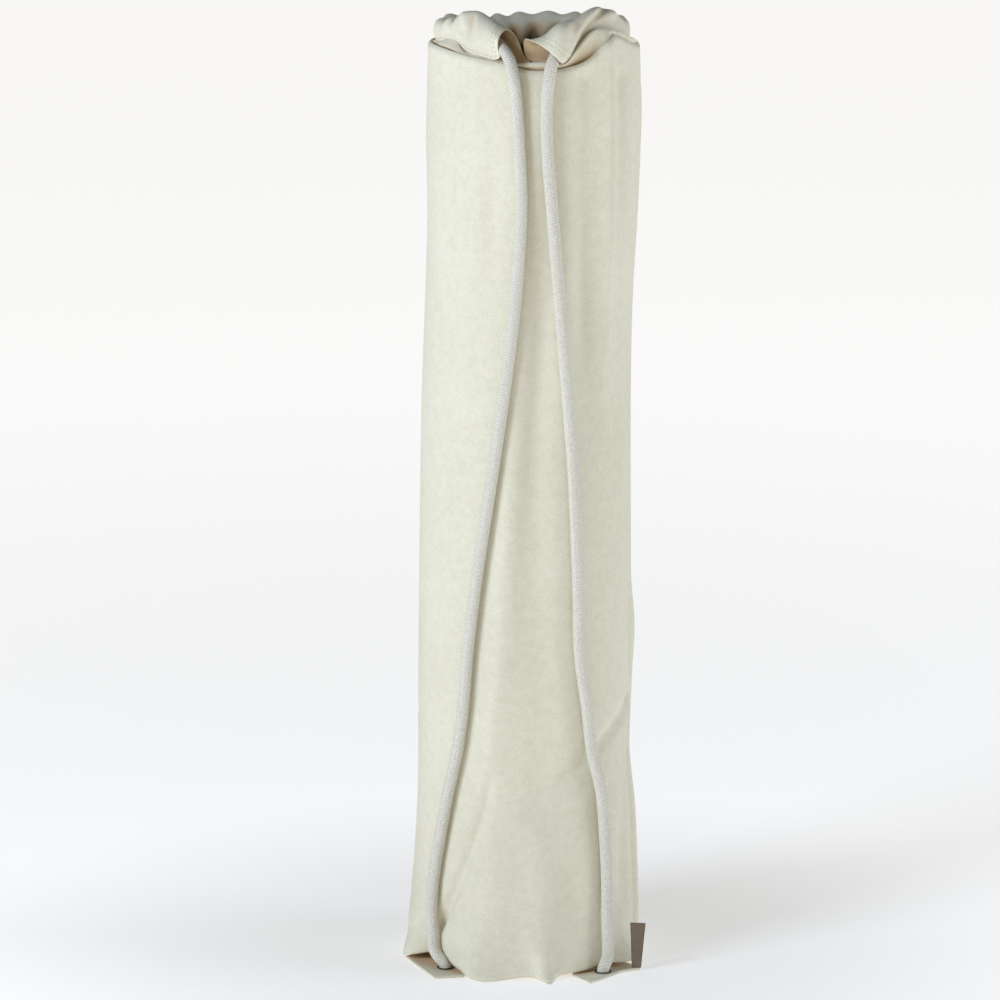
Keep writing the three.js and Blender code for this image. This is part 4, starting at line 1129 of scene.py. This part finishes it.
def dress(piece, slot, *nodes):
    """Turns a piece's faces outwards and says what it rides on and what it replaces; slot is not
    used.
    """
    outward(piece)
    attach(piece, "root")
    if nodes:
        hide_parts(*nodes)


dress(make_bag(canvas), "canvas", "bag_tube")
dress(make_channel(hem), "canvas_hem", "cord_channel")

for side, inside, route, eyelet in (
    ("left", LEFT_INSIDE, LEFT_ROUTE, LEFT_EYELET),
    ("right", RIGHT_INSIDE, RIGHT_ROUTE, RIGHT_EYELET),
):
    cord, line = make_cord(f"braided_cord_{side}", cord_run(inside, route, eyelet), braid)
    dress(cord, "cord", f"cord_{side}")
    length = np.linalg.norm(np.diff(line, axis=0), axis=1).sum()

inner = channel_middle(np.linspace(LEFT_INSIDE[0] - 2, RIGHT_INSIDE[0] + 2 - 360, 19))
ring, _ = make_cord("braided_cord_in_channel", inner, braid, sides=24, step=1.0)
dress(ring, "cord", "cord_in_channel")

for side, outline, eyelet in (("left", LEFT_EAR, LEFT_EYELET), ("right", RIGHT_EAR, RIGHT_EYELET)):
    ear = make_ear(f"canvas_ear_{side}", outline, eyelet, hem)
    dress(ear, "canvas_hem", f"ear_{side}")
    dress(make_eyelet(f"rolled_eyelet_{side}", eyelet, gunmetal), "eyelet", f"eyelet_{side}")

dress(make_label(ribbon), "label", "side_label")
dress(make_stitches("hem_stitches", hem_lines(), thread), "canvas_hem")

# The stage: a pale round floor with a low rim beyond every camera, and the lamps.


def make_stage(material):
    """A dish round the bag: level out to the rim's foot, then a quarter round up to its edge."""
    turn = 2 * np.pi * np.arange(96)[:, None] / 96
    bend = np.linspace(0, np.pi / 2, 12)
    radius = np.concatenate([[1, 500, 1500, 3000, 5000], STAGE_RADIUS + STAGE_RIM * np.sin(bend)])
    height = np.concatenate([np.zeros(5), STAGE_RIM * (1 - np.cos(bend))])
    points = np.stack(np.broadcast_arrays(radius * np.cos(turn), radius * np.sin(turn), height), -1)
    faces = grid_faces(*points.shape[:2], True, False)
    return make_mesh("stage", points.reshape(-1, 3), faces[:, ::-1], material)


# Painted light: the paper glows more the further it lies from the bag, and warm on the rim.
glowing_paper = Paint("glowing_stage_paper")
length = {"operation": "LENGTH"}
far = glowing_paper.node("ShaderNodeVectorMath", length, {0: glowing_paper.object_place()}, output="Value")
glow = STAGE_GLOW + far.ramp(0.08, 0.5) * 0.22 + far.ramp(0.5, 2.5) * 0.15
glow = far.ramp(5.2, 6.2).blend(glow.blend((0, 0, 0), (1, 1, 1)), (0.42, 0.35, 0.24))
values = {"Base Color": (0.69, 0.685, 0.69), "Roughness": 0.9, "Specular IOR Level": 0.0}
glowing_paper.fill(glowing_paper.surface, {**values, "Emission Color": glow, "Emission Strength": 1.0})
stage = make_stage(glowing_paper.material)


def lamp(name, azimuth, distance, height, size, power, colour):
    """A square lamp that looks at the middle of the bag, from an angle round it like the others."""
    data = bpy.data.lights.new(name, "AREA")
    data.size = size
    data.energy = power
    data.color = colour
    obj = bpy.data.objects.new(name, data)
    bpy.context.collection.objects.link(obj)
    turn = math.radians(azimuth)
    obj.location = (distance * math.sin(turn), -distance * math.cos(turn), height)
    obj.rotation_mode = "QUATERNION"
    obj.rotation_quaternion = (Vector((0, 0, 0.36)) - obj.location).to_track_quat("-Z", "Y")


lamp("key", -49, 2.6, 1.3, 1.0, KEY_POWER, (0.74, 0.85, 1.0))
lamp("fill", 84, 2.8, 1.0, 1.4, FILL_POWER, (0.74, 0.85, 1.0))
world = bpy.data.worlds.new("room")
world.use_nodes = True
world.node_tree.nodes["Background"].inputs["Color"].default_value = (1.0, 0.88, 0.66, 1)
world.node_tree.nodes["Background"].inputs["Strength"].default_value = ROOM_LIGHT
bpy.context.scene.world = world
bpy.context.scene.view_settings.view_transform = "Standard"
